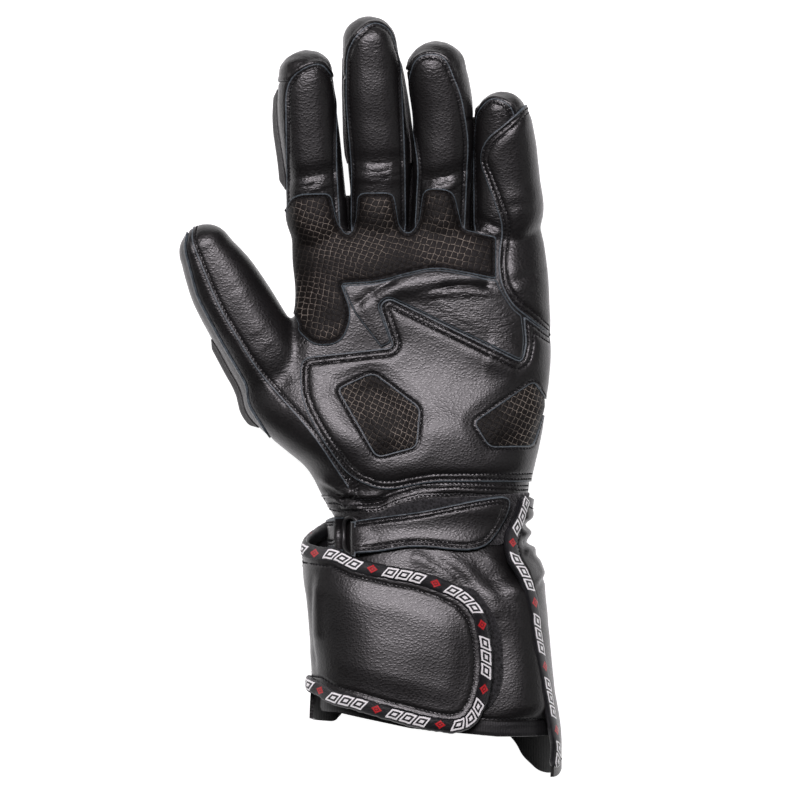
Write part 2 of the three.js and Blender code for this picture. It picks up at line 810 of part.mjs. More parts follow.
// Wrist fastening
add("wrist_loop_patch", patchLayer.intersect(prism(WRIST_PATCH, { low: PANEL_LOW })), "loop");
add("wrist_strap", strapLayer.intersect(prism(STRAP_OUTLINE, { low: PANEL_LOW })), "leather");
const TAB_LOW = 10;
add("strap_tab", strapLayer.intersect(prism(TAB_OUTLINE, { low: TAB_LOW })), "leather");
const STRAP_LIFT = 2 * LAYER_GAP + LOOP_PATCH + STRAP / 2;
const RING_CORNERS = [
  [-9.5, -52.6],
  [-9.5, -58],
  [-9.5, -63.4],
  [-11.4, -64.4],
  [-13.3, -63.4],
  [-13.3, -58],
  [-13.3, -52.6],
  [-11.4, -51.6],
];
const strapRing = tube(RING_CORNERS.map(onHand(STRAP_LIFT)), {
  halfWidth: RING_WIRE,
  halfHeight: RING_WIRE,
  sides: 6,
  steps: 12,
  closed: true,
});
add("strap_ring", strapRing, "plastic");

// Cuff front: the inner sleeve's palm side, with a hem band at its mouth
const NECK_END = -60; // from here to the fingers there is no outer wall to stay inside
const insideCuff = insideOuterWall.add(between(NECK_END, FAR));
const sleeveFront = leather.intersect(above(SPLIT_Z + GAP)).intersect(insideCuff);
// The plan of the front above a line that far over its lower edge, up to its seam with the palm.
const frontAbove = (rise) => {
  const line = FRONT_HEM.map(([x, y]) => [x, y + rise, 0]);
  return prism([...line, [90, HAND_END, 0], [-60, HAND_END, 0]]);
};
const cuffFront = sleeveFront.intersect(frontAbove(HEM_BAND + GAP));
const hem = sleeveFront.intersect(frontAbove(0)).subtract(frontAbove(HEM_BAND));
add("cuff_front", withFolds(cuffFront, WRIST_GATHERS, onHand(0)), "leather");
add("cuff_hem", hem, "leather");
add("flap_loop_patch", patchLayer.intersect(prism(FLAP_PATCH, { low: PANEL_LOW })), "loop");

// Bound edges: oval tubes round the rims of the outer cuff
const onCuff = (point) =>
  new THREE.Vector3(...point, heightOn(GAUNTLET_ROWS, GAUNTLET_POWER, point) - BINDING.sink);
const flapRoute = [...COLLAR_EDGE.map((point) => new THREE.Vector3(...point)), ...FLAP_EDGE.map(onCuff)];
const rightRoute = RIGHT_EDGE.map(onCuff);
const FLAP_STEPS = 20;
const RIGHT_STEPS = 14;
const binding = (route, steps, grow = 0) =>
  tube(route, {
    halfWidth: BINDING.halfWidth + grow,
    halfHeight: BINDING.halfHeight + grow,
    sides: BINDING.sides,
    steps,
  });
add("flap_binding", binding(flapRoute, FLAP_STEPS), "binding");
add("edge_binding", binding(rightRoute, RIGHT_STEPS), "binding");
const bound = binding(flapRoute, FLAP_STEPS, GAP).add(binding(rightRoute, RIGHT_STEPS, GAP));

// The flap over the front, and the back, which wraps round both sides
const PAST_LEFT = -60;
const PAST_RIGHT = 100;
const flapPlan = [[PAST_LEFT, -62], ...FLAP_EDGE, [PAST_LEFT, -121]].map(sharp);
const lapPlan = [...RIGHT_EDGE, [75, -170], [PAST_RIGHT, -170], [PAST_RIGHT, -36], [64, -36]].map(sharp);
const flap = outerWall.intersect(prism(flapPlan, { low: CUFF_SIDE_Z + GAP })).subtract(bound);
add("cuff_flap", flap, "leather");
const backArea = below(CUFF_SIDE_Z).add(prism(lapPlan)).intersect(prism(BACK_PLAN));
add("cuff_back", outerWall.intersect(backArea).subtract(bound), "leather");

export default group;
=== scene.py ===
"""Looks of a leather motorcycle glove that lies on its back, palm up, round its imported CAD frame."""

import math

import bpy
import numpy as np
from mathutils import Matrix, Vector
from mathutils.bvhtree import BVHTree
from mathutils.kdtree import KDTree


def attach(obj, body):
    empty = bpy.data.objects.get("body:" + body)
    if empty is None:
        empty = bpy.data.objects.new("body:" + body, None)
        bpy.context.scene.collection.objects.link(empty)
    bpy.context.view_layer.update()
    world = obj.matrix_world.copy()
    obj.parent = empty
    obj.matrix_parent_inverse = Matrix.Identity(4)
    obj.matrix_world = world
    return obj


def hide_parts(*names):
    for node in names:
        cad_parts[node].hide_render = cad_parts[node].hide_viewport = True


bl_info = {
    "name": "Leather Motorcycle Glove",
    "version": (1, 0, 0),
    "blender": (4, 5, 0),
    "location": "3D View > Sidebar > Glove",
    "description": "Builds the leather, trim and stage of a motorcycle glove round its CAD frame",
    "category": "Object",
}

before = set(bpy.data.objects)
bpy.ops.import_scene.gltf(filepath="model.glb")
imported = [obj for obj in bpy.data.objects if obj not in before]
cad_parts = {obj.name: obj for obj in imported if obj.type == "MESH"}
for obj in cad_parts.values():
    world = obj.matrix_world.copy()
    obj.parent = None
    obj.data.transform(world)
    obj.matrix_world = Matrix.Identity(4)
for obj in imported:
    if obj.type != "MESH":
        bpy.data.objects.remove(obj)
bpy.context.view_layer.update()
MM = 0.001
# The distance given to points that are near no edge, seam or stitch
FAR = 99.0

# Sections of the palm and the inner sleeve in millimetres: y, left, right, low, high and the palm's dip
HAND = [
    [71, -33.5, 69.2, 8, 32, 0],
    [58, -33, 71, 4.6, 36.5, 1.5],
    [33, -33.4, 72.8, 0.8, 40.7, 3.9],
    [20, -43.5, 73.2, -1.4, 41.3, 3.8],
    [8, -52, 72.4, -1.6, 42.3, 3.4],
    [-4, -55.5, 71.5, -1.6, 44.6, 2.7],
    [-18, -43, 69, -1.4, 47, 1.4],
    [-29, -29, 66.4, 0.4, 46.4, 0.6],
    [-42, -21.5, 64.6, 2.9, 44.2, 0],
    [-55, -14.5, 60, 3, 45, 0],
    [-68, -15.8, 62, 3, 49.6, 0],
    [-86, -18.5, 66.5, 3, 52.6, 0],
    [-112, -20.6, 69.6, 3, 55.5, 0],
    [-150, -23, 74, 3, 59.4, 0],
]
# How far the gauntlet's outer layer lies above the sleeve
FLAP_LIFT = 4.6
# Sections of the gauntlet's outer layer: y, left, right, low, high and no dip
GAUNTLET = [
    [-35, -26, 67.6, -1.2, 44.7 + FLAP_LIFT, 0],
    [-45, -27, 66.9, -1.2, 44.2 + FLAP_LIFT, 0],
    [-54, -28.5, 64.8, -1.2, 44.9 + FLAP_LIFT, 0],
    [-62, -29.5, 66, -1.2, 47.5 + FLAP_LIFT, 0],
    [-70, -30, 70.4, -1.2, 50.2 + FLAP_LIFT, 0],
    [-86, -27.3, 72.2, -1.2, 53.2 + FLAP_LIFT, 0],
    [-112, -26.4, 74.5, -1.2, 56.2 + FLAP_LIFT, 0],
    [-138, -26.8, 78.2, -1.2, 58.3 + FLAP_LIFT, 0],
    [-170, -27.5, 80, -1.2, 60 + FLAP_LIFT, 0],
]
# How square the sections are, where 2 gives an ellipse
HAND_POWER = 2.6
GAUNTLET_POWER = 2.7
FINGER_POWER = 2.5

# Sections of each finger: x, y, z, half width, half height and lean in degrees, and where its tip ends
FINGERS = {
    "index": {
        "tip": (-27.4, 145.3, 29.8),
        "sections": [
            [-21, 60, 20, 7, 9, 0],
            [-23.4, 72, 20.5, 12.4, 13.3, 2],
            [-24, 84, 21.2, 12.6, 12.6, 3],
            [-24.9, 94, 22.2, 12.5, 13.2, 3],
            [-27.7, 120, 25.8, 12.5, 12.5, 1],
            [-28.3, 136, 28.4, 11.2, 11.4, 0],
        ],
    },
    "middle": {
        "tip": (-2, 159.3, 31.5),
        "sections": [
            [2.4, 60, 20.5, 7, 9, 0],
            [2.6, 74, 21, 12.2, 13.4, 0],
            [2.9, 86, 21.8, 12.6, 12.7, 1],
            [2.6, 96, 22.8, 13.1, 13.3, 1],
            [0.2, 128, 27.2, 12.8, 12.8, 2],
            [-1.3, 148, 30.2, 11.4, 11.6, 2],
        ],
    },
    "ring": {
        "tip": (25.8, 148.9, 31.5),
        "sections": [
            [27, 60, 20.5, 7, 9, 0],
            [28.5, 72, 21, 12.4, 13.2, -4],
            [29.2, 84, 21.8, 12.4, 12.6, -5],
            [29.7, 98, 23.2, 12.3, 13, -2],
            [30.1, 118, 26.2, 12.4, 12.5, 5],
            [26.9, 138, 29.8, 12.2, 11.4, 4],
        ],
    },
    "little": {
        "tip": (54, 127.8, 30.5),
        "sections": [
            [53, 60, 20, 8, 9, 0],
            [55.7, 73, 20.6, 13.6, 12.7, 0],
            [55.4, 92, 22.4, 12.9, 12.3, 0],
            [54.7, 107, 25, 11.7, 11.8, 2],
            [54, 118.5, 27.6, 10.5, 10.8, 2],
        ],
    },
    "thumb": {
        "tip": (-75.2, 71.2, 27),
        "sections": [
            [-35, -4, 22, 11.5, 11, 28],
            [-42.4, 11, 22, 15.8, 15.5, 28],
            [-54.4, 33, 22.7, 16, 15.2, 28],
            [-64.7, 51, 24.2, 14.5, 13.4, 28],
            [-70.3, 61, 25.2, 11.5, 11.8, 28],
        ],
    },
}
FINGER_NAMES = ["index", "middle", "ring", "little"]

# Heights of the seams: between palm and back, under the finger fronts and under the side strips
SPLIT_Z = 19
FRONT_LOW = 21
STRIP_LOW = 14
# How much those of the fingers rise with each millimetre towards the tip
CLIMB = 0.12
# y where the fingers leave the palm, and where the back of the hand ends
FINGER_START = 69
BACK_END = -64
# Heights of the edges: the flap's on the cuff's side, the guards' upper ones, the thumb panels' lower one
CUFF_SIDE_Z = 30
FINGER_GUARD_TOP = 26
THUMB_GUARD_TOP = 24
THUMB_LOW = 15
# x of the ring's two bars, which the strap and the tab turn round
STRAP_BAR = -5.8
TAB_BAR = -12.2

# Plan outlines: x, y and how far each corner's rounding reaches
FINGER_FRONTS = {
    "index": [
        [-35.5, 50, 0], [-36.6, 133, 8], [-22.6, 141, 7], [-15.7, 133, 4], [-15.4, 96, 4],
        [-12.8, 50, 0],
    ],
    "middle": [
        [-9, 50, 0], [-8.8, 96, 4], [-11.2, 124, 6], [-10.8, 147, 6], [-0.5, 157.5, 6], [7.4, 154.2, 4],
        [11.2, 142, 6], [13.2, 100, 4], [13.6, 50, 0],
    ],
    "ring": [
        [16.8, 50, 0], [19.2, 96, 6], [14.2, 132, 6], [18, 143, 6], [30, 143.4, 6], [37, 126, 6],
        [39.9, 108, 6], [37.4, 50, 0],
    ],
    "little": [
        [42.8, 50, 0], [42.6, 118, 4], [49.5, 126.2, 5], [58.5, 121.6, 4], [62.6, 100, 4], [63.2, 50, 0],
    ],
}
GRIP = [
    [-40, 74, 0], [-37, 78, 3], [-33, 84.8, 5], [-18, 85.3, 3], [-15.2, 72, 3], [-10.3, 66.8, 3],
    [-6.9, 72, 3], [-6, 85.4, 3.5], [8.6, 85.4, 3.5], [10.6, 71, 3], [14.8, 67.4, 3], [19.6, 72, 3],
    [21.4, 87, 4], [33.6, 87, 5], [37.4, 69.6, 3], [51.6, 67, 0], [51.6, 48.9, 0], [26, 53.6, 6],
    [0, 47.5, 0], [-13, 46.8, 0], [-8.4, 34, 6], [-13, 22, 7], [-24, 20.6, 6], [-30.4, 26, 3],
    [-34.4, 33.4, 2], [-38, 40, 0],
]
LITTLE_SIDE = [
    [69, 127.4, 0], [57.5, 116, 4], [48.4, 108.6, 3], [45.6, 103, 3], [45.6, 97, 4], [54.4, 71.5, 4],
    [52.2, 57, 6], [53.4, 46, 6], [58.6, 37.6, 3], [79, 21.6, 0], [90, 21.6, 0], [90, 127.4, 0],
]
GUSSET = [
    [-12.8, 46.3, 0], [0, 47, 0], [26, 53.1, 6], [51.9, 48.3, 0], [53.1, 45, 3], [58.2, 36.8, 2],
    [62, 33.6, 0], [63.1, 24, 3], [61.8, 14.8, 2.5], [6.2, 42, 3], [2, 38.2, 2], [8, 22.6, 1.5],
    [3.4, 20.4, 0], [-7.8, 35, 0],
]
HEEL = [
    [-30.2, 16, 5], [8.6, 20.3, 2.5], [2.5, 38.2, 2.5], [6.6, 41.4, 2.5], [62, 14.2, 3], [63.8, 22, 2],
    [62.8, 33.8, 1], [79, 21.3, 0], [90, 21, 0], [90, -36, 0], [24, -35.8, 6], [4, -40, 8],
    [-10, -33.4, 6], [-22.4, -16.5, 6], [-30.4, -1, 8],
]
THUMB_WINDOW = [
    [-14.2, 2.6, 2], [0, 9.2, 3], [19.2, -5.4, 2.5], [17.9, -21, 2.5], [1.8, -25.2, 3],
]
LITTLE_WINDOW = [
    [42.8, -11.3, 2], [66.9, 5.7, 2], [72.7, -2.5, 3], [66.5, -20.6, 2.5], [48.8, -20.9, 2.5],
]
STRAP_OUTLINE = [
    [STRAP_BAR, -52, 0], [20, -48.6, 6], [43, -43.2, 6], [57, -40.7, 6.5], [49.4, -62.2, 7],
    [41, -65.6, 7], [17, -63.4, 6], [STRAP_BAR, -67, 0],
]
TAB_OUTLINE = [
    [-60, -50.4, 0], [TAB_BAR, -50.4, 0], [TAB_BAR, -64.8, 0], [-60, -64.8, 0],
]
# The wrist's loop patch. Its part reaching left under the strap is partly painted shade: dark pile standing
# in for the shade below the wrist seam and the strap
WRIST_PATCH_AND_SHADE = [
    [-3, -51.4, 0], [9, -46, 4], [20, -43, 4], [35, -42.2, 4], [66.5, -40.4, 2], [62, -50, 3],
    [55, -62.5, 3], [33, -63, 2], [-3, -62, 0],
]
FLAP_PATCH = [
    [20, -80, 0], [42, -79, 6], [54, -96, 10], [54.6, -121, 8], [47, -132.4, 6], [20, -128, 0],
]
THUMB_REGION = [
    [-100, 90, 0], [-56, 90, 0], [-31, 29.5, 0], [-32, 14, 6], [-30.5, -3, 8], [-22.4, -18, 6],
    [-10, -34, 0], [-10, -41.7, 0], [-45, -41.7, 0], [-100, 0, 0],
]
THUMB_FRONT = [
    [-76.5, 66, 4], [-65, 37.5, 10], [-48.5, 10.5, 10], [-25, -16, 10], [-8, -41.7, 0], [90, -41.7, 0],
    [90, 120, 0], [-64, 120, 0],
]
# Everything on the inner side of the thumb's outer seam
THUMB_INNER = [
    [-79, 62, 3], [-73.6, 41.4, 4], [-63.8, 23.1, 4], [-53, 4.6, 3], [-52.4, -3.6, 3], [-45, -15, 6],
    [-26, -41.7, 0], [90, -41.7, 0], [90, 120, 0], [-70, 120, 0],
]
THUMB_GUARD = [
    [-100, 24, 0], [-56, 24, 4], [-45, 0, 4], [-47, -14, 4], [-100, -14, 0],
]
BACK_PLAN = [
    [-60, -63.5, 0], [-29.5, -63.5, 0], [-20, -57, 4], [-5, -50.5, 6], [30, -44, 6], [60, -43, 0],
    [66, -42.4, 1], [72, -46, 0], [90, -46, 0], [90, -150, 0], [80.6, -153, 2], [77.6, -159.2, 3],
    [71, -158.6, 3], [63.8, -152.2, 2.5], [61, -146.7, 3], [56.3, -142, 3], [20, -136, 6],
    [-12, -132, 2], [-17, -137.8, 2], [-26, -136.6, 2], [-28.7, -132.5, 2], [-60, -132.5, 0],
]

# Edges in plan, each a list of points
FLAP_EDGE = [
    [-24.8, -65.7], [-15.5, -66.8], [-7.6, -70.4], [7.6, -73.9], [18, -75.8], [29, -79.4], [38.2, -84.2],
    [43.8, -91], [46, -99.5], [47, -109.5], [46.4, -120], [43.8, -129], [39.6, -135], [34, -137],
    [26.5, -136.4], [5.3, -131.3], [-7.6, -127.6], [-17.2, -125.2], [-22.6, -122],
]
# Where the flap's binding passes round the cuff's side, with heights
FLAP_WRAP = [[-25.4, -121, 44], [-26.6, -120.4, 36], [-26.9, -120.2, 28]]
COLLAR_EDGE = [
    [-14.6, -53.4, 1.6], [-20.6, -57, 7.5], [-26, -60.4, 17], [-28.2, -62.8, 28], [-27.6, -64.6, 38.5],
]
RIGHT_EDGE = [
    [63.8, -42], [61.2, -51], [57.6, -60], [58.6, -67.4], [62.6, -74.5], [66, -84], [68.2, -99.5],
    [70.2, -111], [72.2, -122], [74.6, -135.5], [76.4, -148], [75.6, -155.4],
]
# The lower edge of the cuff's front, and how wide its hem band is
FRONT_HEM = [[-60, -131], [-15, -132], [16, -138.3], [52, -141.7], [90, -142]]
HEM_BAND = 6
# The gathered seam between the palm and the cuff's front
WRIST_SEAM = [[-60, -44.5], [-19.3, -46.6], [-11.5, -47.5], [2.5, -46.6], [9.2, -43.5], [19.3, -40.5],
              [35, -39.9], [62, -41.2], [90, -41.5]]
BACK_SEAMS = [
    [[-10.3, 50], [-10.3, 74], [-11.4, 96], [-13.9, 128], [-15.6, 170]],
    [[15.4, 50], [15.4, 74], [16.6, 98], [15.2, 124], [12.6, 146], [12.6, 170]],
    [[41.5, 50], [41.5, 73], [42.2, 98], [42.7, 112], [42, 130], [42, 170]],
]

# Folds of the leather: height, half width and route in plan
HAND_FOLDS = [
    (1.5, 4.4, [[-2, 38], [4.6, 42.6], [10.9, 45.6], [18.9, 47.6], [28.1, 48.6], [40.7, 48.6], [51.2, 47.6]]),
    (-1.0, 2.2, [[-9, 36.4], [-2, 42], [6, 46.6], [12, 49.6]]),
    (-1.1, 1.7, [[26, 45.4], [36, 46.4], [44, 46.2], [51, 45.6]]),
    (0.5, 1.2, [[20, 42], [30, 43.2], [42, 43.6], [52, 42.8]]),
    (1.3, 6.5, [[46, 17.5], [54, 16], [62, 13]]),
    (-0.25, 3.4, [[-34, 29.4], [-32.3, 21.4], [-31.5, 14.3], [-29.6, 6]]),
    (0.15, 3.4, [[-29.6, 27], [-28, 20.4], [-27.2, 13], [-25.6, 6]]),
    (0.12, 2.2, [[55, 83], [63, 84.2], [70.1, 84.2]]),
    (-0.16, 1.8, [[55.5, 79.6], [63, 80.4], [70.5, 80.8]]),
    (0.1, 2.2, [[55.9, 75.8], [63, 76.9], [70.6, 77.1]]),
    (0.3, 2.2, [[57, 43.6], [64, 45.8], [73.2, 49.6]]),
    (-0.35, 1.8, [[57.4, 47.6], [64, 50], [73.4, 53.4]]),
    (0.15, 2.4, [[57, 52], [64, 54.6], [73, 58]]),
    (0.8, 1.8, [[-24, -33], [-14.5, -40], [-4, -42.4], [6, -42]]),
    (-1.1, 1.4, [[-23, -36.6], [-13, -43], [-2, -44.6], [8, -43]]),
    (0.7, 1.3, [[-21, -40], [-12, -45.8], [-3, -47]]),
    (-0.9, 1.2, [[-20, -42.6], [-13, -47.6], [-5, -48.8]]),
    (0.9, 2.2, [[22, -38.2], [40, -37.9], [60, -38.6]]),
    (6.0, 13, [[60, -70], [65, -100], [68, -142]]),
    (0.5, 2.6, [[14, -66], [27, -71], [36, -78]]),
    (-0.5, 2.2, [[22, -66], [33.6, -73], [41, -82]]),
    (0.6, 2.8, [[29, -66], [40, -74.2], [48, -84], [52, -96]]),
    (-0.4, 2.4, [[39, -66], [49, -76], [56, -88], [60, -100]]),
    (0.4, 2.6, [[46, -64], [55, -74], [61, -88]]),
    (-0.3, 3.0, [[-46, 22], [-40, 12], [-37, 2]]),
    (0.25, 4.0, [[-58, 46], [-52, 34], [-47, 24]]),
]
FINGER_FOLDS = [
    (-0.75, 3.0, [[-40, 91.6], [-27, 93.2], [-12, 96]]),
    (-0.35, 0.8, [[-40, 90], [-27, 91.6], [-12, 94.4]]),
    (0.5, 3.4, [[-40, 84.6], [-26, 86.4], [-12, 89.4]]),
    (-0.75, 3.0, [[-10, 99.6], [2, 98.8], [15, 100.4]]),
    (-0.3, 0.8, [[-10, 98], [2, 97.2], [15, 98.8]]),
    (0.5, 3.6, [[-10, 91.6], [2, 91.2], [15, 93]]),
    (-0.75, 3.0, [[19, 90.4], [30, 93], [42, 96.5]]),
    (-0.35, 0.8, [[19, 89], [30, 91.6], [42, 95]]),
    (0.5, 3.4, [[19, 84.6], [30, 86.8], [42, 90.2]]),
    (-0.3, 0.8, [[-37, 88.4], [-30, 87.2], [-22, 89]]),
    (-0.3, 0.8, [[-32, 85.2], [-24, 85.6], [-15, 88.2]]),
    (-0.26, 0.8, [[-36, 83.2], [-28, 82.6], [-20, 84.2]]),
    (-0.3, 0.8, [[-8, 95], [1, 93.6], [9, 95.4]]),
    (-0.3, 0.8, [[-3, 91.8], [5, 91.6], [14, 93.6]]),
    (-0.26, 0.8, [[-9, 89.4], [0, 88.8], [7, 90.2]]),
    (-0.3, 0.8, [[21, 87.6], [28, 87.8], [34, 90.8]]),
    (-0.3, 0.8, [[26, 84.6], [33, 86.2], [40, 90.2]]),
    (-0.26, 0.8, [[22, 82.4], [30, 83.4], [37, 86.2]]),
    (0.7, 1.6, [[44, 71], [49, 69.2], [53, 66.8]]),
    (-0.6, 1.4, [[43, 75], [48, 72.9], [53, 70]]),
]
CUFF_FOLDS = [
    (1.4, 1.8, [[62.4, -51.9], [66, -49.6], [71.4, -47.4]]),
    (-1.2, 1.4, [[61.8, -55.2], [66, -53.4], [71.4, -52]]),
    (1.5, 1.8, [[61.4, -58.4], [66, -57.2], [72.4, -56.6]]),
    (-1.2, 1.4, [[62, -61.4], [66, -61], [72, -60.8]]),
    (1.5, 1.8, [[62.6, -64.6], [67, -64.6], [74, -64.8]]),
    (0.6, 0.8, [[65, -65], [69.6, -69.4], [71.4, -74.4], [67.6, -79]]),
    (-0.6, 0.8, [[66, -63.4], [71.2, -68.6], [73.4, -74.6], [69, -81]]),
    (-1.2, 1.2, [[-24.6, -76], [-25.0, -90], [-25.4, -104], [-24.4, -116]]),
    (0.9, 2.0, [[-22.4, -77], [-22.8, -90], [-23, -104]]),
]
# Where the leather is finely wrinkled: x, y, reach and strength
WRINKLES = [
    (-26, 134, 7, 0.5), (-1, 149, 7, 0.6), (25, 139, 7, 0.6), (52, 117, 7, 0.7),
    (-25, 89, 7, 0.9), (3, 94, 7, 0.9), (30, 89, 7, 0.9), (49, 74, 6, 0.8),
    (-12, 68, 5, 1.0), (14, 69, 5, 1.0), (36, 38, 15, 0.9), (54, 27, 10, 0.8), (3, 44, 8, 0.5),
    (-45, 26, 13, 0.4), (-30, 8, 11, 0.5), (-66, 52, 10, 0.2), (63, 80, 7, 0.4), (64, 42, 8, 0.5),
    (32, -76, 13, 0.5), (52, -82, 11, 0.4), (-22, 2, 9, 0.3), (-12, -42, 12, 0.8), (50, 118, 7, 0.6),
]

# Thicknesses in millimetres
LEATHER = 1.6
PANEL_TOP = 1.9
HEEL_TOP = 1.7
PAD_TOP = 1.7
PATCH_TOP = 1.5
STRAP_TOP = 3.8
GUARD_TOP = 2.1
WEB_HALF = 2.2
LINING_FLOOR = 0.6
LINING_GAP = 0.4

# The even mesh of the skins, and how finely the gauntlet is divided round and along
VOXEL = 0.99
CUFF_SIDES = 300
CUFF_STEP = 1.0
# A point nearer to a cut than this share of its edge moves onto it
SNAP = 0.18
SHARP_ANGLE = math.radians(48)
# Distances from a seam that get a line of points, and those of the stitches along the wrist
SEAM_LEVELS = [0.3, 0.75, 1.3]
WRIST_ROWS = [1.8, 3.6]
# Heights above which the panels are cut, and above which they are sewn and the leather folds
PANEL_LOW = 20
UPPER_LOW = 24

skins = {}


def hermite(knots, values, at):
    """Values at places along knots on a smooth curve through them, column by column."""
    knots, values, at = np.array(knots, float), np.array(values, float), np.array(at, float)
    slopes = np.gradient(values, knots, axis=0)
    i = np.clip(np.searchsorted(knots, at) - 1, 0, len(knots) - 2)
    span = (knots[i + 1] - knots[i])[:, None]
    t = (at - knots[i])[:, None] / span
    return (
        (2 * t**3 - 3 * t**2 + 1) * values[i]
        + (t**3 - 2 * t**2 + t) * span * slopes[i]
        + (3 * t**2 - 2 * t**3) * values[i + 1]
        + (t**3 - t**2) * span * slopes[i + 1]
    )


def oval(sides, power):
    """A rounded square's across and up, from -1 to 1, at evenly turned places."""
    angle = np.arange(sides) * 2 * math.pi / sides
    across = np.sign(np.cos(angle)) * np.abs(np.cos(angle)) ** (2 / power)
    rise = np.sign(np.sin(angle)) * np.abs(np.sin(angle)) ** (2 / power)
    return across, rise


def sleeve_rings(rows, power, sides=128, step=2.0):
    """Rings of the hand's or the gauntlet's sections, smooth along its length."""
    rows = np.array(rows[::-1], float)
    places = np.arange(rows[0, 0], rows[-1, 0] + 0.01, step)
    across, rise = oval(sides, power)
    rings = []
    for y, (left, right, low, high, dip) in zip(places, hermite(rows[:, 0], rows[:, 1:], places)):
        x = (left + right) / 2 + across * (right - left) / 2
        z = (low + high) / 2 + rise * (high - low) / 2
        z = z - np.where(rise > 0, dip * (1 - across**2) ** 2, 0)
        rings.append(np.column_stack([x, np.full(sides, y), z]))
    return np.array(rings)


def finger_rings(finger, sides=64, step=1.5):
    """Rings of a finger from its base to the point of its rounded tip."""
    rows = np.array(finger["sections"], float)
    steps = np.linalg.norm(np.diff(rows[:, :3], axis=0), axis=1)
    knots = np.concatenate([[0], np.cumsum(steps)])
    straight = hermite(knots, rows, np.arange(0, knots[-1], step))
    reach = np.array(finger["tip"]) - rows[-1, :3]
    tip_rows = []
    # The last ring stops just short of the tip's point, which the loft closes.
    for turn in np.linspace(0, 0.985, 12) * math.pi / 2:
        row = rows[-1].copy()
        row[:3] += reach * math.sin(turn)
        row[3:5] *= math.cos(turn)
        tip_rows.append(row)
    across, rise = oval(sides, FINGER_POWER)
    rings = []
    for x, y, z, half_width, half_height, turn in [*straight, *tip_rows]:
        lean = math.radians(turn)
        side = np.array([math.cos(lean), math.sin(lean), 0])
        ring = np.outer(across * half_width, side) + np.outer(rise * half_height, [0, 0, 1])
        rings.append(ring + [x, y, z])
    return np.array(rings)


def lofted(rings):
    """Points and outward triangles of the closed shape through rings."""
    count, sides = rings.shape[:2]
    points = np.vstack([rings.reshape(-1, 3), rings[0].mean(0), rings[-1].mean(0)])
    start = np.arange(count - 1)[:, None] * sides + np.arange(sides)
    side = np.arange(count - 1)[:, None] * sides + (np.arange(sides) + 1) % sides
    quads = np.stack([start, side, side + sides, start + sides], -1).reshape(-1, 4)
    around = np.arange(sides)
    following = (around + 1) % sides
    last = (count - 1) * sides
    first_cap = np.column_stack([following, around, np.full(sides, count * sides)])
    last_cap = np.column_stack([around + last, following + last, np.full(sides, count * sides + 1)])
    faces = np.vstack([quads[:, [0, 1, 2]], quads[:, [0, 2, 3]], first_cap, last_cap])
    corner = points[faces]
    volume = np.einsum("ij,ij->i", corner[:, 0], np.cross(corner[:, 1], corner[:, 2])).sum()
    return points, faces if volume > 0 else faces[:, ::-1]


def new_mesh(name, points, faces):
    """A Blender mesh of triangles."""
    mesh = bpy.data.meshes.new(name)
    mesh.vertices.add(len(points))
    mesh.vertices.foreach_set("co", np.asarray(points, np.float32).ravel())
    mesh.loops.add(3 * len(faces))
    mesh.loops.foreach_set("vertex_index", np.asarray(faces, np.int32).ravel())
    mesh.polygons.add(len(faces))
    mesh.polygons.foreach_set("loop_start", np.arange(len(faces), dtype=np.int32) * 3)
    mesh.update(calc_edges=True)
    return mesh


def select_only(thing):
    bpy.ops.object.select_all(action="DESELECT")
    thing.select_set(True)
    bpy.context.view_layer.objects.active = thing


def joined(shapes):
    """Several shapes' points and faces as one."""
    points, faces, start = [], [], 0
    for some_points, some_faces in shapes:
        points.append(some_points)
        faces.append(some_faces + start)
        start += len(some_points)
    return np.vstack(points), np.vstack(faces)


def remeshed(shapes, voxel):
    """The one even skin round overlapping closed shapes, in millimetres."""
    thing = bpy.data.objects.new("skin", new_mesh("skin", *joined(shapes)))
    bpy.context.scene.collection.objects.link(thing)
    select_only(thing)
    thing.data.remesh_voxel_size = voxel
    thing.data.remesh_voxel_adaptivity = 0
    bpy.ops.object.voxel_remesh()
    mesh = thing.data
    mesh.calc_loop_triangles()
    points = np.empty(3 * len(mesh.vertices))
    mesh.vertices.foreach_get("co", points)
    faces = np.empty(3 * len(mesh.loop_triangles), np.int32)
    mesh.loop_triangles.foreach_get("vertices", faces)
    bpy.data.objects.remove(thing)
    bpy.data.meshes.remove(mesh)
    return points.reshape(-1, 3), faces.reshape(-1, 3)


def edges_of(faces):
    """Each edge once, as pairs of point numbers."""
    pairs = np.vstack([faces[:, [0, 1]], faces[:, [1, 2]], faces[:, [2, 0]]])
    return np.unique(np.sort(pairs, axis=1), axis=0)


def relaxed(points, faces, rounds, share=1.0, keep_size=True):
    """Points drawn towards their neighbours, then pushed back so that the shape keeps its size."""
    a, b = edges_of(faces).T
    count = len(points)
    degree = np.bincount(a, minlength=count) + np.bincount(b, minlength=count)
    degree = np.maximum(degree, 1)[:, None]
    steps = [0.5, -0.52] if keep_size else [0.5]
    share = np.asarray(share).reshape(-1, 1)
    for _ in range(rounds):
        for step in steps:
            sums = np.column_stack(
                [
                    np.bincount(a, points[b, i], count) + np.bincount(b, points[a, i], count)
                    for i in range(3)
                ]
            )
            points = points + step * share * (sums / degree - points)
    return points


def normals_of(points, faces):
    corner = points[faces]
    face_normals = np.cross(corner[:, 1] - corner[:, 0], corner[:, 2] - corner[:, 0])
    sums = np.column_stack(
        [sum(np.bincount(faces[:, k], face_normals[:, i], len(points)) for k in range(3)) for i in range(3)]
    )
    return sums / np.maximum(np.linalg.norm(sums, axis=1), 1e-9)[:, None]


def smoothstep(x, start, end):
    t = np.clip((x - start) / (end - start), 0, 1)
    return t * t * (3 - 2 * t)


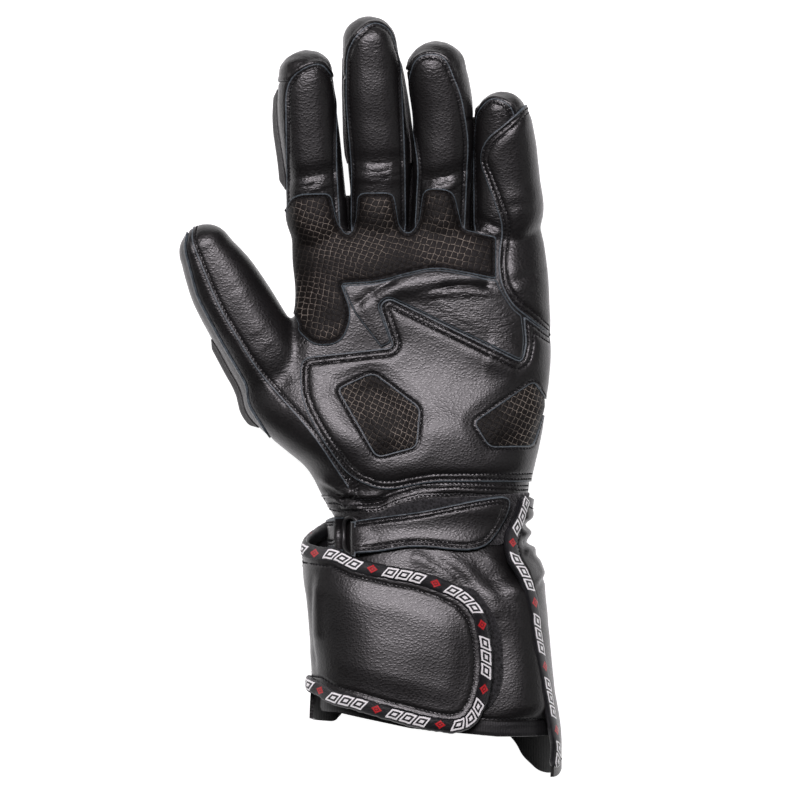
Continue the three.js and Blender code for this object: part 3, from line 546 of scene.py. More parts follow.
def rounded(corners, steps=7):
    """The outline of corners x, y, reach with each corner rounded by no more than it has room for."""
    corners = np.array(corners, float)
    outline = []
    for i, (x, y, reach) in enumerate(corners):
        corner = np.array([x, y])
        if reach == 0:
            outline.append(corner)
            continue
        ends = []
        for other in (corners[i - 1, :2], corners[(i + 1) % len(corners), :2]):
            away = other - corner
            length = np.linalg.norm(away)
            ends.append(corner + away / length * min(reach, 0.45 * length))
        for t in np.linspace(0, 1, steps):
            outline.append((1 - t) ** 2 * ends[0] + 2 * t * (1 - t) * corner + t**2 * ends[1])
    return np.array(outline)


def route_distance(points, route):
    """How far points are in plan from a route, and how far along it they are, from 0 to 1."""
    x, y = points[:, 0], points[:, 1]
    route = np.array(route, float)
    lengths = np.linalg.norm(np.diff(route, axis=0), axis=1)
    best = np.full(len(points), 1e9)
    place = np.zeros(len(points))
    run = 0
    for (x0, y0), (x1, y1), length in zip(route[:-1], route[1:], lengths):
        t = np.clip(((x - x0) * (x1 - x0) + (y - y0) * (y1 - y0)) / length**2, 0, 1)
        distance = np.hypot(x - x0 - t * (x1 - x0), y - y0 - t * (y1 - y0))
        nearer = distance < best
        best = np.where(nearer, distance, best)
        place = np.where(nearer, (run + t * length) / lengths.sum(), place)
        run += length
    return best, place


def inside_plan(points, corners):
    """Signed distance in plan to a rounded outline, positive inside it."""
    outline = rounded(corners)
    x, y = points[:, 0], points[:, 1]
    low, high = outline.min(0) - 4, outline.max(0) + 4
    near = (x > low[0]) & (x < high[0]) & (y > low[1]) & (y < high[1])
    result = np.full(len(points), -4.0)
    px, py = x[near], y[near]
    best = np.full(len(px), 1e9)
    inside = np.zeros(len(px), bool)
    for (x0, y0), (x1, y1) in zip(outline, np.roll(outline, -1, axis=0)):
        dx, dy = x1 - x0, y1 - y0
        t = np.clip(((px - x0) * dx + (py - y0) * dy) / max(dx * dx + dy * dy, 1e-12), 0, 1)
        best = np.minimum(best, (px - x0 - t * dx) ** 2 + (py - y0 - t * dy) ** 2)
        crossing = (y0 > py) != (y1 > py)
        inside ^= crossing & (px < x0 + (py - y0) * dx / (dy if dy else 1e-12))
    result[near] = np.where(inside, 1, -1) * np.sqrt(best)
    return result


def line_at(line, y):
    """x of a line of points x, y with growing y."""
    line = np.array(line, float)
    return np.interp(y, line[:, 1], line[:, 0])


def height_line(line, x):
    """y of a line of points x, y with growing x."""
    line = np.array(line, float)
    return np.interp(x, line[:, 0], line[:, 1])


def above_climb(points, low):
    return points[:, 2] - low - (points[:, 1] - FINGER_START) * CLIMB


def with_folds(points, normals, folds, low):
    """Points raised or sunk along folds, on the side that faces up."""
    lift = np.zeros(len(points))
    for height, half, route in folds:
        distance, place = route_distance(points, route)
        fade = smoothstep(place, 0, 0.18) * smoothstep(1 - place, 0, 0.18)
        fade = np.maximum(fade, 0.25)
        lift += height * fade * np.exp(-((distance / half) ** 2))
    facing = smoothstep(points[:, 2], low, low + 6)
    return points + normals * (lift * facing)[:, None]


def uneven(points, seed, reach, height):
    """The soft unevenness of worked leather, as waves that run in all directions."""
    chance = np.random.default_rng(seed)
    total = np.zeros(len(points))
    for _ in range(14):
        way = chance.normal(size=3)
        way *= 2 * math.pi / (np.linalg.norm(way) * reach * chance.uniform(0.7, 1.8))
        total += np.sin(points @ way + chance.uniform(0, 2 * math.pi))
    return height * total / math.sqrt(14)


def leaned_together(points, name):
    """Closes the valleys between fingers, whose sides press on each other below the fronts' edges."""
    x, y, z = points.T
    push = np.zeros(len(points))
    low = smoothstep(z, 3, 8) * smoothstep(23 + (y - 72) * 0.12 - z, 0, 4)
    # For each side: its way, where the push starts and is full, its reach, its upper end and its seam
    sides = {
        "index": [(1, -21, -16.5, 2.0, 86, 0)],
        "middle": [(-1, -3.5, -7.5, 2.0, 86, 0), (1, 8.5, 12.5, 2.0, 99, 1)],
        "ring": [(-1, 24.5, 20.5, 2.0, 99, 1), (1, 33.5, 38, 2.0, 125, 2)],
        "little": [(-1, 50.5, 46, 2.2, 125, 2)],
    }
    for way, start, end, reach, top, _ in sides.get(name, []):
        beside = smoothstep(y, 66, 70) * smoothstep(top - y, 0, 7)
        push += way * reach * smoothstep(way * x, way * start, way * end) * beside * low
    if name == "ring":
        push -= 0.8 * smoothstep(-x, -26, -18) * smoothstep(y, 84, 96) * smoothstep(150 - y, 0, 20)
    moved = points.copy()
    moved[:, 0] += push
    for way, _, _, _, _, seam in sides.get(name, []):
        limit = line_at(BACK_SEAMS[seam], y) - way * 0.4
        moved[:, 0] -= way * np.maximum(way * (moved[:, 0] - limit), 0) * smoothstep(y, 72, 75)
    return moved


def web_between(seam, top):
    """Leather deep between two fingers, from their crotch to where they part."""
    rows = np.arange(FINGER_START - 1, top, 1.5)[:, None]
    across = 7
    sides = np.linspace(-1, 1, across)[None]
    x = line_at(BACK_SEAMS[seam], rows) + sides * WEB_HALF
    z = STRIP_LOW + 2 + (rows - FINGER_START) * CLIMB - 1.2 * (1 - sides**2)
    points = np.stack([x, rows + 0 * sides, z], -1).reshape(-1, 3)
    start = (np.arange(len(rows) - 1)[:, None] * across + np.arange(across - 1)).ravel()
    following = start + across
    faces = np.vstack([np.column_stack([start, start + 1, following + 1]),
                       np.column_stack([start, following + 1, following])])
    return Sheet(points, faces, normals_of(points, faces), {"edge": np.full(len(points), FAR)})


class Sheet:
    """A piece of leather being cut: points, faces, the skin's normals and values at each point."""

    def __init__(self, points, faces, normals, values=None):
        self.points, self.faces, self.normals = points, faces, normals
        self.values = values or {}


def worked(points, faces, normals, waves):
    """A skin with the unevenness of worked leather, and flat where it rests on the floor."""
    rough = sum(uneven(points, *wave) for wave in waves)
    points = points + normals * (rough * smoothstep(points[:, 2], 2, 8))[:, None]
    points[:, 2] = np.maximum(points[:, 2], 0.0)
    return Sheet(points, faces, normals_of(points, faces))


def make_skins():
    """The smooth closed skins that every piece is cut from."""
    hand = lofted(sleeve_rings(HAND, HAND_POWER))
    knuckles = lofted(sleeve_rings(HAND[:4], HAND_POWER))
    fingers = {name: lofted(finger_rings(finger)) for name, finger in FINGERS.items()}
    sources = {"hand": [hand, *fingers.values()]}
    for name in FINGER_NAMES:
        sources[name] = [knuckles, fingers[name]]
    for name, shapes in sources.items():
        points, faces = remeshed(shapes, VOXEL)
        points = relaxed(points, faces, 6)
        web = smoothstep(points[:, 1], 62, 68) * smoothstep(-points[:, 1], -84, -76)
        thumb_web, _ = route_distance(points, [[-33, 34], [-33, 10], [-26, -14]])
        thumb_root, _ = route_distance(points, [[-62, 12], [-48, 1], [-36, -12]])
        share = np.maximum(web, 1 - smoothstep(np.minimum(thumb_web, thumb_root), 5, 16))
        points = relaxed(points, faces, 16, share, keep_size=False)
        if name == "hand":
            points = relaxed(points, faces, 110, 1 - smoothstep(thumb_root, 4, 14), keep_size=False)
        points = relaxed(points, faces, 3)
        normals = normals_of(points, faces)
        if name == "hand":
            skins["smooth"] = Sheet(points, faces, normals)
        points = with_folds(points, normals, FINGER_FOLDS, UPPER_LOW)
        if name == "hand":
            points = with_folds(points, normals, HAND_FOLDS, UPPER_LOW)
        points = leaned_together(points, name)
        broad = 0.16 if name == "hand" else 0.1
        skins[name] = worked(points, faces, normals, [(3, 24, broad), (5, 9, 0.03)])
    points, faces = lofted(sleeve_rings(GAUNTLET, GAUNTLET_POWER, sides=CUFF_SIDES, step=CUFF_STEP))
    normals = normals_of(points, faces)
    points = with_folds(points, normals, CUFF_FOLDS, 10)
    skins["cuff"] = worked(points, faces, normals, [(7, 32, 0.35), (8, 12, 0.05)])


def split(sheet, field, keep="inside"):
    """The sheet cut where the field is nought, and of it the side above nought, or both sides."""
    field = np.array(field, float)
    arrays = {"points": sheet.points, "normals": sheet.normals, **sheet.values}
    arrays = {name: np.array(values, float) for name, values in arrays.items()}
    faces = sheet.faces
    edges = edges_of(faces)
    a, b = edges.T
    crossing = (field[a] > 0) != (field[b] > 0)
    a, b = a[crossing], b[crossing]
    t = field[a] / (field[a] - field[b])
    # A point close to the cut moves onto it.
    for ends, others, near in ((a, b, t), (b, a, 1 - t)):
        close = np.nonzero(near < SNAP)[0]
        order = close[np.argsort(-near[close])]
        for name, values in arrays.items():
            weight = near[order] if values.ndim == 1 else near[order][:, None]
            moved = values[ends[order]] * (1 - weight) + values[others[order]] * weight
            arrays[name] = values.copy()
            arrays[name][ends[order]] = moved
        field[ends[order]] = 0
    sign = np.sign(field).astype(int)
    crossing = sign[edges[:, 0]] * sign[edges[:, 1]] < 0
    cut_edges = edges[crossing]
    a, b = cut_edges.T
    t = field[a] / (field[a] - field[b])
    count = len(field)
    for name, values in arrays.items():
        weight = t if values.ndim == 1 else t[:, None]
        arrays[name] = np.concatenate([values, values[a] * (1 - weight) + values[b] * weight])
    keys = a.astype(np.int64) * count + b
    order = np.argsort(keys)
    keys_sorted = keys[order]

    def middle(p, q):
        key = np.minimum(p, q).astype(np.int64) * count + np.maximum(p, q)
        return count + order[np.searchsorted(keys_sorted, key)]

    signs = sign[faces]
    plus, minus = (signs > 0).sum(1), (signs < 0).sum(1)
    inner = [faces[(minus == 0) & (plus > 0)]]
    outer = [faces[(plus == 0)]]
    both_sides = (plus > 0) & (minus > 0)

    def turned(mask, wanted):
        some, some_signs = faces[mask], signs[mask]
        first = np.argmax(some_signs == wanted, axis=1)
        take = (first[:, None] + np.arange(3)) % 3
        return np.take_along_axis(some, take, 1)

    one = turned(both_sides & (plus == 1) & (minus == 2), 1)
    p, q, r = one.T
    pq, pr = middle(p, q), middle(p, r)
    inner.append(np.column_stack([p, pq, pr]))
    outer += [np.column_stack([pq, q, r]), np.column_stack([pq, r, pr])]
    two = turned(both_sides & (plus == 2) & (minus == 1), -1)
    p, q, r = two.T
    pq, pr = middle(p, q), middle(p, r)
    outer.append(np.column_stack([p, pq, pr]))
    inner += [np.column_stack([pq, q, r]), np.column_stack([pq, r, pr])]
    mixed = turned(both_sides & (plus == 1) & (minus == 1), 0)
    z, q, r = mixed.T
    qr = middle(q, r)
    first_in = sign[q] > 0
    near_part, far_part = np.column_stack([z, q, qr]), np.column_stack([z, qr, r])
    inner += [near_part[first_in], far_part[~first_in]]
    outer += [far_part[first_in], near_part[~first_in]]
    kept = np.vstack(inner + (outer if keep == "both" else []))
    return tidied(arrays, kept)


def tidied(arrays, faces):
    """A sheet without the points that no face uses."""
    used, flat = np.unique(faces, return_inverse=True)
    faces = flat.reshape(-1, 3)
    arrays = {name: values[used] for name, values in arrays.items()}
    points, normals = arrays.pop("points"), arrays.pop("normals")
    normals = normals / np.maximum(np.linalg.norm(normals, axis=1), 1e-9)[:, None]
    return Sheet(points, faces, normals, arrays)


def merged(sheets):
    """Several sheets as one."""
    points, faces = joined([(sheet.points, sheet.faces) for sheet in sheets])
    values = {name: np.concatenate([sheet.values[name] for sheet in sheets]) for name in sheets[0].values}
    return Sheet(points, faces, np.vstack([sheet.normals for sheet in sheets]), values)


def cut_out(skin, *fields):
    """The part of a skin where every field is above nought. Each field is a function of the points."""
    sheet = skins[skin] if isinstance(skin, str) else skin
    for field in fields:
        sheet = split(sheet, field(sheet.points))
    return sheet


def rim_edges(faces):
    """The edges that only one face has, in the way that face goes round."""
    pairs = np.vstack([faces[:, [0, 1]], faces[:, [1, 2]], faces[:, [2, 0]]])
    keys = np.sort(pairs, axis=1)
    _, first, counts = np.unique(keys, axis=0, return_index=True, return_counts=True)
    return pairs[first[counts == 1]]


def measure_edge(sheet, seam=None):
    """Gives each point its distance from the sheet's edge, or from the part of it that is a seam."""
    rim = rim_edges(sheet.faces)
    start, end = sheet.points[rim[:, 0]], sheet.points[rim[:, 1]]
    if seam is not None:
        wanted = seam((start + end) / 2)
        start, end = start[wanted], end[wanted]
    if len(start) == 0:
        sheet.values["edge"] = np.full(len(sheet.points), FAR)
        return sheet
    samples = np.vstack([start + (end - start) * t for t in (0, 0.25, 0.5, 0.75, 1)])
    tree = KDTree(len(samples))
    for i, sample in enumerate(samples):
        tree.insert(sample, i)
    tree.balance()
    sheet.values["edge"] = np.array([tree.find(point)[2] for point in sheet.points])
    return sheet


def scored(sheet, levels):
    """The sheet with a line of points along each distance from its edge."""
    for level in levels:
        sheet = split(sheet, sheet.values["edge"] - level, keep="both")
        on_line = np.abs(sheet.values["edge"] - level) < 1e-6
        sheet.values["edge"][on_line] = level
    return sheet


def wrinkled(points):
    """How finely wrinkled the leather is at each point, from 0 to 1."""
    amount = np.zeros(len(points))
    for x, y, reach, strength in WRINKLES:
        distance = np.hypot(points[:, 0] - x, points[:, 1] - y)
        amount = np.maximum(amount, strength * np.exp(-((distance / reach) ** 2)))
    return amount * smoothstep(points[:, 2], 16, 24)


def channel(edge, rows, depth=0.4, width=0.5):
    """The groove that each row of stitches pulls into the leather."""
    return -depth * sum((np.exp(-(((edge - row) / width) ** 2)) for row in rows), 0 * edge)


def panel_lift(edge, top, rows, lip=1.1, reach=7):
    """Height of a sewn-on panel: a rounded cut edge, grooves at its stitches and a soft crown."""
    rise = lip * (1 - 0.35 * np.exp(-edge / 0.3))
    return rise + (top - lip) * smoothstep(edge, 1, reach) + channel(edge, rows)


def seam_lift(edge, rows, lip=0.45):
    """Height of leather that meets a neighbour: its turned-up edge, then its row of stitches."""
    return lip * np.exp(-((edge / 0.7) ** 2)) + channel(edge, rows, 0.3)


def valley_lift(edge):
    """Height of leather that is tucked under its neighbour's edge."""
    return -0.55 * np.exp(-((edge / 0.8) ** 2))


def row_levels(rows):
    levels = [0.3, 0.75]
    for row in rows:
        levels += [row - 0.5, row, row + 0.5]
    return levels


stitch_lines = {}


def finish_piece(name, sheet, top, under, material, nodes, lining=None, stitches=(), group=None,
                 raw=True):
    """Closes a sheet into a piece with a wall, keeps its stitch lines, and hands it to the frame."""
    count = len(sheet.points)
    edge = sheet.values.get("edge", np.full(count, FAR))
    outer = sheet.points + sheet.normals * np.asarray(top).reshape(-1, 1)
    outer[:, 2] = np.maximum(outer[:, 2], 0.0)
    inner = sheet.points + sheet.normals * np.asarray(under * np.ones(count)).reshape(-1, 1)
    inner[:, 2] = np.maximum(inner[:, 2], np.minimum(LINING_FLOOR, outer[:, 2] + LINING_GAP))
    rim = rim_edges(sheet.faces)
    a, b = rim.T
    walls = np.vstack([np.column_stack([b, a, a + count]), np.column_stack([b, a + count, b + count])])
    faces = np.vstack([sheet.faces, sheet.faces[:, ::-1] + count, walls])
    points = np.vstack([outer, inner])
    mesh = new_mesh(name, points * MM, faces)
    mesh.polygons.foreach_set("use_smooth", np.ones(len(faces), bool))
    inside = np.zeros(len(faces), np.int32)
    inside[len(sheet.faces) : 2 * len(sheet.faces)] = 1 if lining else 0
    mesh.materials.append(material)
    if lining:
        mesh.materials.append(lining)
    mesh.polygons.foreach_set("material_index", inside)
    bare = np.full(count, FAR)
    looks = {
        "edge": np.concatenate([edge if raw else bare, np.where(edge < 0.01, 0, FAR) if raw else bare]),
        "seam": np.concatenate([edge, bare]),
        "wrinkle": np.concatenate([wrinkled(sheet.points), np.zeros(count)]),
        "row": bare,
    }
    if stitches:
        looks["row"], looks["turn"] = keep_stitch_lines(group, sheet, outer, stitches)
    for look in ("gather", "along"):
        if look in sheet.values:
            looks[look] = np.concatenate([sheet.values[look], np.zeros(count)])
    for look, values in looks.items():
        if len(values) == count:
            values = np.concatenate([values, bare])
        layer = mesh.attributes.new(look, "FLOAT", "POINT")
        layer.data.foreach_set("value", values.astype(np.float32))
    mesh.update()
    mesh.set_sharp_from_angle(angle=SHARP_ANGLE)
    thing = bpy.data.objects.new(name, mesh)
    bpy.context.scene.collection.objects.link(thing)
    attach(thing, "root")
    if nodes:
        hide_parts(*nodes)
    return thing


def chains_of(pairs):
    """Loose edges strung into chains of point numbers."""
    links = {}
    for a, b in pairs:
        links.setdefault(int(a), []).append(int(b))
        links.setdefault(int(b), []).append(int(a))
    chains = []
    while links:
        ends = [point for point, others in links.items() if len(others) == 1]
        point = ends[0] if ends else next(iter(links))
        chain = [point]
        while links.get(point):
            following = links[point].pop()
            links[following].remove(point)
            if not links[point]:
                del links[point]
            point = following
            chain.append(point)
        if point in links and not links[point]:
            del links[point]
        if len(chain) > 3:
            chains.append(chain)
    return chains


def keep_stitch_lines(group, sheet, outer, levels):
    """Keeps the lines at some distances from the edge for stitches, and measures each point from them."""
    edges = edges_of(sheet.faces)
    pitch = bpy.context.scene.glove.stitch_pitch / MM
    line_points, line_turns = [], []
    second = sheet.values.get("second", np.ones(len(outer)))
    for level in levels:
        on_line = (np.abs(sheet.values["edge"] - level) < 1e-6) & ((level == levels[0]) | (second > 0.5))
        for chain in chains_of(edges[on_line[edges[:, 0]] & on_line[edges[:, 1]]]):
            stitch_lines.setdefault(group, []).append((outer[chain], sheet.normals[chain]))
            steps = np.linalg.norm(np.diff(outer[chain], axis=0), axis=1)
            line_points += [Vector(point) for point in outer[chain]]
            line_turns += list(np.concatenate([[0], np.cumsum(steps)]) / pitch)
    distance, turn = np.full(len(outer), FAR), np.zeros(len(outer))
    if line_points:
        tree = KDTree(len(line_points))
        for i, point in enumerate(line_points):
            tree.insert(point, i)
        tree.balance()
        for i in np.nonzero(sheet.values["edge"] < max(levels) + 1.6)[0]:
            _, nearest, distance[i] = tree.find(outer[i])
            turn[i] = line_turns[nearest]
    return distance, turn


def at_run(run, rows, place):
    """The row found at one place along a run, between the two nearest rows."""
    return np.array([np.interp(place, run, rows[:, i]) for i in range(3)])


def stitches_along(lines, pitch, length, radius):
    """Short rounded stitches, end to end along lines on the leather."""
    sides = 5
    angles = np.arange(sides) * 2 * math.pi / sides
    places = np.array([-0.5, -0.36, 0, 0.36, 0.5])
    widths = np.array([0.25, 0.9, 1.0, 0.9, 0.25])
    bows = np.array([-0.5, 0.15, 0.5, 0.15, -0.5])
    shapes = []
    triangles = []
    for ring in range(len(places) - 1):
        for side in range(sides):
            a, b = ring * sides + side, ring * sides + (side + 1) % sides
            triangles += [[a, b, b + sides], [a, b + sides, a + sides]]
    last = (len(places) - 1) * sides
    for side in range(1, sides - 1):
        triangles += [[0, side + 1, side], [last, last + side, last + side + 1]]
    triangles = np.array(triangles)
    for points, normals in lines:
        steps = np.linalg.norm(np.diff(points, axis=0), axis=1)
        run = np.concatenate([[0], np.cumsum(steps)])
        if run[-1] < 2 * pitch:
            continue
        centres = np.arange(pitch / 2, run[-1] - pitch / 2, pitch)
        for centre in centres:
            middle = at_run(run, points, centre)
            up = at_run(run, normals, centre)
            along = at_run(run, points, centre + 0.8) - at_run(run, points, centre - 0.8)
            along /= max(np.linalg.norm(along), 1e-9)
            side = np.cross(along, up)
            side /= max(np.linalg.norm(side), 1e-9)
            up = np.cross(side, along)
            slanted = along + 0.24 * side
            rings = [
                middle
                + slanted * place * length
                + up * (bow * radius + 0.1)
                + radius * width * (np.outer(np.cos(angles), side) + np.outer(np.sin(angles), up))
                for place, width, bow in zip(places, widths, bows)
            ]
            shapes.append((np.vstack(rings), triangles))
    return joined(shapes)


def smooth_route(route, step):
    """Points a step apart along a smooth curve through a route's points."""
    route = np.array(route, float)
    knots = np.concatenate([[0], np.cumsum(np.linalg.norm(np.diff(route, axis=0), axis=1))])
    return hermite(knots, route, np.linspace(0, knots[-1], int(knots[-1] / step) + 1))


def surface_tree(name):
    sheet = skins[name]
    return BVHTree.FromPolygons(sheet.points.tolist(), sheet.faces.tolist())


def seen_from_above(tree, x, y):
    """The skin's point over a place in plan, and its normal there."""
    return tree.ray_cast(Vector((x, y, 200)), Vector((0, 0, -1)))[:2]


def on_top(tree, x, y):
    """The skin's height over a place in plan."""
    return seen_from_above(tree, x, y)[0].z


def tape(name, route, tree, half_width, half_height, material, nodes):
    """A folded tape along a route on the cuff, with the run along it and across it as its UV."""
    points = smooth_route(route, 0.9)
    tangents = np.gradient(points, axis=0)
    tangents /= np.linalg.norm(tangents, axis=1)[:, None]
    normals = np.array([tree.find_nearest(Vector(point))[1][:] for point in points])
    for _ in range(12):
        normals[1:-1] = (normals[:-2] + 2 * normals[1:-1] + normals[2:]) / 4
    normals -= np.einsum("ij,ij->i", normals, tangents)[:, None] * tangents
    normals /= np.linalg.norm(normals, axis=1)[:, None]
    across = np.cross(tangents, normals)
    run = np.concatenate([[0], np.cumsum(np.linalg.norm(np.diff(points, axis=0), axis=1))])
    sides = 28
    side_x, side_z = oval(sides, 2.5)
    crumple = 1 + 0.05 * np.sin(run * 0.9) * np.sin(run * 0.23 + 1) + 0.03 * np.sin(run * 2.1 + 2)
    ends = np.minimum(1, np.sqrt(np.clip(np.minimum(run, run[-1] - run) / 2 + 0.02, 0, 1)))
    rings = (
        points[:, None]
        + across[:, None] * (side_x[None, :, None] * half_width * (crumple * ends)[:, None, None])
        + normals[:, None] * (side_z[None, :, None] * half_height * ends[:, None, None])
    )
    made, faces = lofted(rings)
    mesh = new_mesh(name, made * MM, faces)
    mesh.polygons.foreach_set("use_smooth", np.ones(len(faces), bool))
    along = np.concatenate([np.repeat(run, sides), [run[0], run[-1]]])
    angle = np.arctan2(side_z * half_height, side_x * half_width)
    girth = half_width + half_height * 0.5
    over = np.where(side_z >= -0.35, (math.pi / 2 - angle) / (math.pi / 2) * girth, 3 * girth)
    over = np.concatenate([np.tile(over, len(points)), [FAR, FAR]])
    layer = mesh.uv_layers.new(name="Tape")
    corners = faces.ravel()
    layer.data.foreach_set("uv", np.column_stack([along[corners], over[corners]]).ravel().astype(np.float32))
    mesh.materials.append(material)
    mesh.update()
    thing = bpy.data.objects.new(name, mesh)
    bpy.context.scene.collection.objects.link(thing)
    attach(thing, "root")
    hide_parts(*nodes)
    return thing


# Materials


def group_inputs(tree, inputs, outputs):
    """Adds named sockets to a shader group and gives back its two ends."""
    for name, kind, value in inputs:
        socket = tree.interface.new_socket(name=name, in_out="INPUT", socket_type=kind)
        if value is not None:
            socket.default_value = value
    for name, kind in outputs:
        tree.interface.new_socket(name=name, in_out="OUTPUT", socket_type=kind)
    return tree.nodes.new("NodeGroupInput"), tree.nodes.new("NodeGroupOutput")


def wired(tree, kind, settings=None, **inputs):
    """A node with its settings made and its inputs set or linked by name or number."""
    node = tree.nodes.new(kind)
    for name, value in (settings or {}).items():
        setattr(node, name, value)
    for name, value in inputs.items():
        socket = node.inputs[int(name[1:])] if name[0] == "_" and name[1:].isdigit() else node.inputs[name]
        if isinstance(value, bpy.types.NodeSocket):
            tree.links.new(value, socket)
        else:
            socket.default_value = value
    return node


def maths(tree, operation, first, second=None, third=None):
    node = wired(tree, "ShaderNodeMath", {"operation": operation}, _0=first)
    for i, value in ((1, second), (2, third)):
        if isinstance(value, bpy.types.NodeSocket):
            tree.links.new(value, node.inputs[i])
        elif value is not None:
            node.inputs[i].default_value = value
    return node.outputs[0]


def ramped(tree, value, low, high, start=0.0, end=1.0):
    """The value taken from low..high to start..end, smoothly and without overshoot."""
    node = wired(tree, "ShaderNodeMapRange", {"interpolation_type": "SMOOTHSTEP"}, _0=value, _1=low, _2=high)
    node.inputs[3].default_value = start
    node.inputs[4].default_value = end
    return node.outputs[0]


def mixed_colour(tree, share, first, second):
    node = tree.nodes.new("ShaderNodeMix")
    node.data_type = "RGBA"
    for socket, value in ((node.inputs[0], share), (node.inputs[6], first), (node.inputs[7], second)):
        if isinstance(value, bpy.types.NodeSocket):
            tree.links.new(value, socket)
        else:
            socket.default_value = value
    return node.outputs[2]


def make_grain_group():
    """Pebbled leather grain with wrinkles and gathers where they are asked for."""
    tree = bpy.data.node_groups.new("Leather grain", "ShaderNodeTree")
    start, end = group_inputs(
        tree,
        [("Coordinates", "NodeSocketVector", None), ("Pebble", "NodeSocketFloat", 1.0),
         ("Wrinkle", "NodeSocketFloat", 0.0), ("Gather", "NodeSocketFloat", 0.0),
         ("Along", "NodeSocketFloat", 0.0), ("Seam", "NodeSocketFloat", FAR),
         ("Row", "NodeSocketFloat", FAR), ("Turn", "NodeSocketFloat", 0.0)],
        [("Height", "NodeSocketFloat"), ("Tone", "NodeSocketFloat"), ("Cell", "NodeSocketFloat")],
    )
    place = start.outputs["Coordinates"]
    bend = wired(tree, "ShaderNodeTexNoise", Vector=place, Scale=240.0, Detail=2.0)
    shifted = wired(tree, "ShaderNodeVectorMath", {"operation": "MULTIPLY_ADD"}, _0=bend.outputs["Color"])
    shifted.inputs[1].default_value = (0.0015, 0.0015, 0.0015)
    tree.links.new(place, shifted.inputs[2])
    flat = wired(tree, "ShaderNodeMapping", Vector=place)
    flat.inputs["Scale"].default_value = (0.74, 1.0, 1.0)
    cells = wired(tree, "ShaderNodeTexVoronoi", {"feature": "F1"}, Vector=flat.outputs[0], Scale=1150.0)
    pebble = ramped(tree, cells.outputs["Distance"], 0.1, 0.75, 1.0, 0.0)
    stretched = wired(tree, "ShaderNodeMapping", Vector=shifted.outputs[0])
    stretched.inputs["Scale"].default_value = (0.26, 1.0, 1.0)
    creases = wired(tree, "ShaderNodeTexNoise", Vector=stretched.outputs[0], Scale=600.0, Detail=1.0,
                    Roughness=0.5)
    sharp = maths(tree, "ABSOLUTE", maths(tree, "SUBTRACT", creases.outputs[0], 0.5))
    crease = ramped(tree, sharp, 0.0, 0.12)
    near_seam = ramped(tree, start.outputs["Seam"], 0.6, 6.0, 0.3, 0.0)
    amount = maths(tree, "MAXIMUM", start.outputs["Wrinkle"], near_seam)
    wavy = maths(tree, "MULTIPLY_ADD", bend.outputs[0], 2.2, start.outputs["Along"])
    gathers = maths(tree, "SINE", maths(tree, "MULTIPLY", wavy, 3.1))
    gathers = maths(tree, "MULTIPLY", gathers, start.outputs["Gather"])
    total = maths(tree, "MULTIPLY", pebble, start.outputs["Pebble"])
    total = maths(tree, "MULTIPLY_ADD", maths(tree, "MULTIPLY", crease, amount), 1.9, total)
    total = maths(tree, "MULTIPLY_ADD", gathers, 0.7, total)
    beat = maths(tree, "COSINE", maths(tree, "MULTIPLY", start.outputs["Turn"], 2 * math.pi))
    hole = maths(tree, "MULTIPLY", maths(tree, "MULTIPLY_ADD", beat, 0.5, 0.5),
                 ramped(tree, start.outputs["Row"], 0.1, 0.85, 1.0, 0.0))
    total = maths(tree, "MULTIPLY_ADD", hole, -1.9, total)
    broad = wired(tree, "ShaderNodeTexNoise", Vector=place, Scale=34.0, Detail=3.0)
    tree.links.new(total, end.inputs["Height"])
    tree.links.new(pebble, end.inputs["Cell"])
    tree.links.new(broad.outputs[0], end.inputs["Tone"])
    return tree


def make_net_group():
    """The raised net of cells on the grip leather."""
    tree = bpy.data.node_groups.new("Grip net", "ShaderNodeTree")
    start, end = group_inputs(
        tree,
        [("Coordinates", "NodeSocketVector", None), ("Cell", "NodeSocketFloat", 2.6),
         ("Turn", "NodeSocketFloat", 0.7)],
        [("Line", "NodeSocketFloat"), ("Height", "NodeSocketFloat"), ("Fade", "NodeSocketFloat")],
    )
    place = start.outputs["Coordinates"]
    bend = wired(tree, "ShaderNodeTexNoise", Vector=place, Scale=26.0, Detail=0.0)
    shifted = wired(tree, "ShaderNodeVectorMath", {"operation": "MULTIPLY_ADD"}, _0=bend.outputs["Color"])
    shifted.inputs[1].default_value = (0.0085, 0.0085, 0.0)
    tree.links.new(place, shifted.inputs[2])
    turned = wired(tree, "ShaderNodeVectorRotate", {"rotation_type": "Z_AXIS"}, Vector=shifted.outputs[0],
                   Angle=start.outputs["Turn"])
    scale = maths(tree, "DIVIDE", 1000.0, start.outputs["Cell"])
    cells = wired(tree, "ShaderNodeTexVoronoi", {"feature": "DISTANCE_TO_EDGE", "voronoi_dimensions": "2D"},
                  Vector=turned.outputs[0], Scale=scale, Randomness=0.3)
    line = ramped(tree, cells.outputs["Distance"], 0.02, 0.085, 1.0, 0.0)
    cushion = ramped(tree, cells.outputs["Distance"], 0.06, 0.42, 0.0, 1.0)
    speckle = wired(tree, "ShaderNodeTexNoise", Vector=place, Scale=1100.0, Detail=2.0)
    height = maths(tree, "MULTIPLY_ADD", line, 1.1, maths(tree, "MULTIPLY", cushion, 0.6))
    height = maths(tree, "MULTIPLY_ADD", speckle.outputs[0], 0.5, height)
    # Broad patches that set the base's tone and the painted sheen on the net's lines
    fade = wired(tree, "ShaderNodeTexNoise", Vector=place, Scale=52.0, Detail=2.0)
    broken = maths(tree, "MULTIPLY", line, ramped(tree, speckle.outputs[0], 0.36, 0.6, 0.3, 1.0))
    tree.links.new(broken, end.inputs["Line"])
    tree.links.new(height, end.inputs["Height"])
    tree.links.new(fade.outputs[0], end.inputs["Fade"])
    return tree


# How wide the pale edge of cut leather is in millimetres, and over how much more it fades
RAW_WIDTH = 0.52
RAW_FADE = 0.28


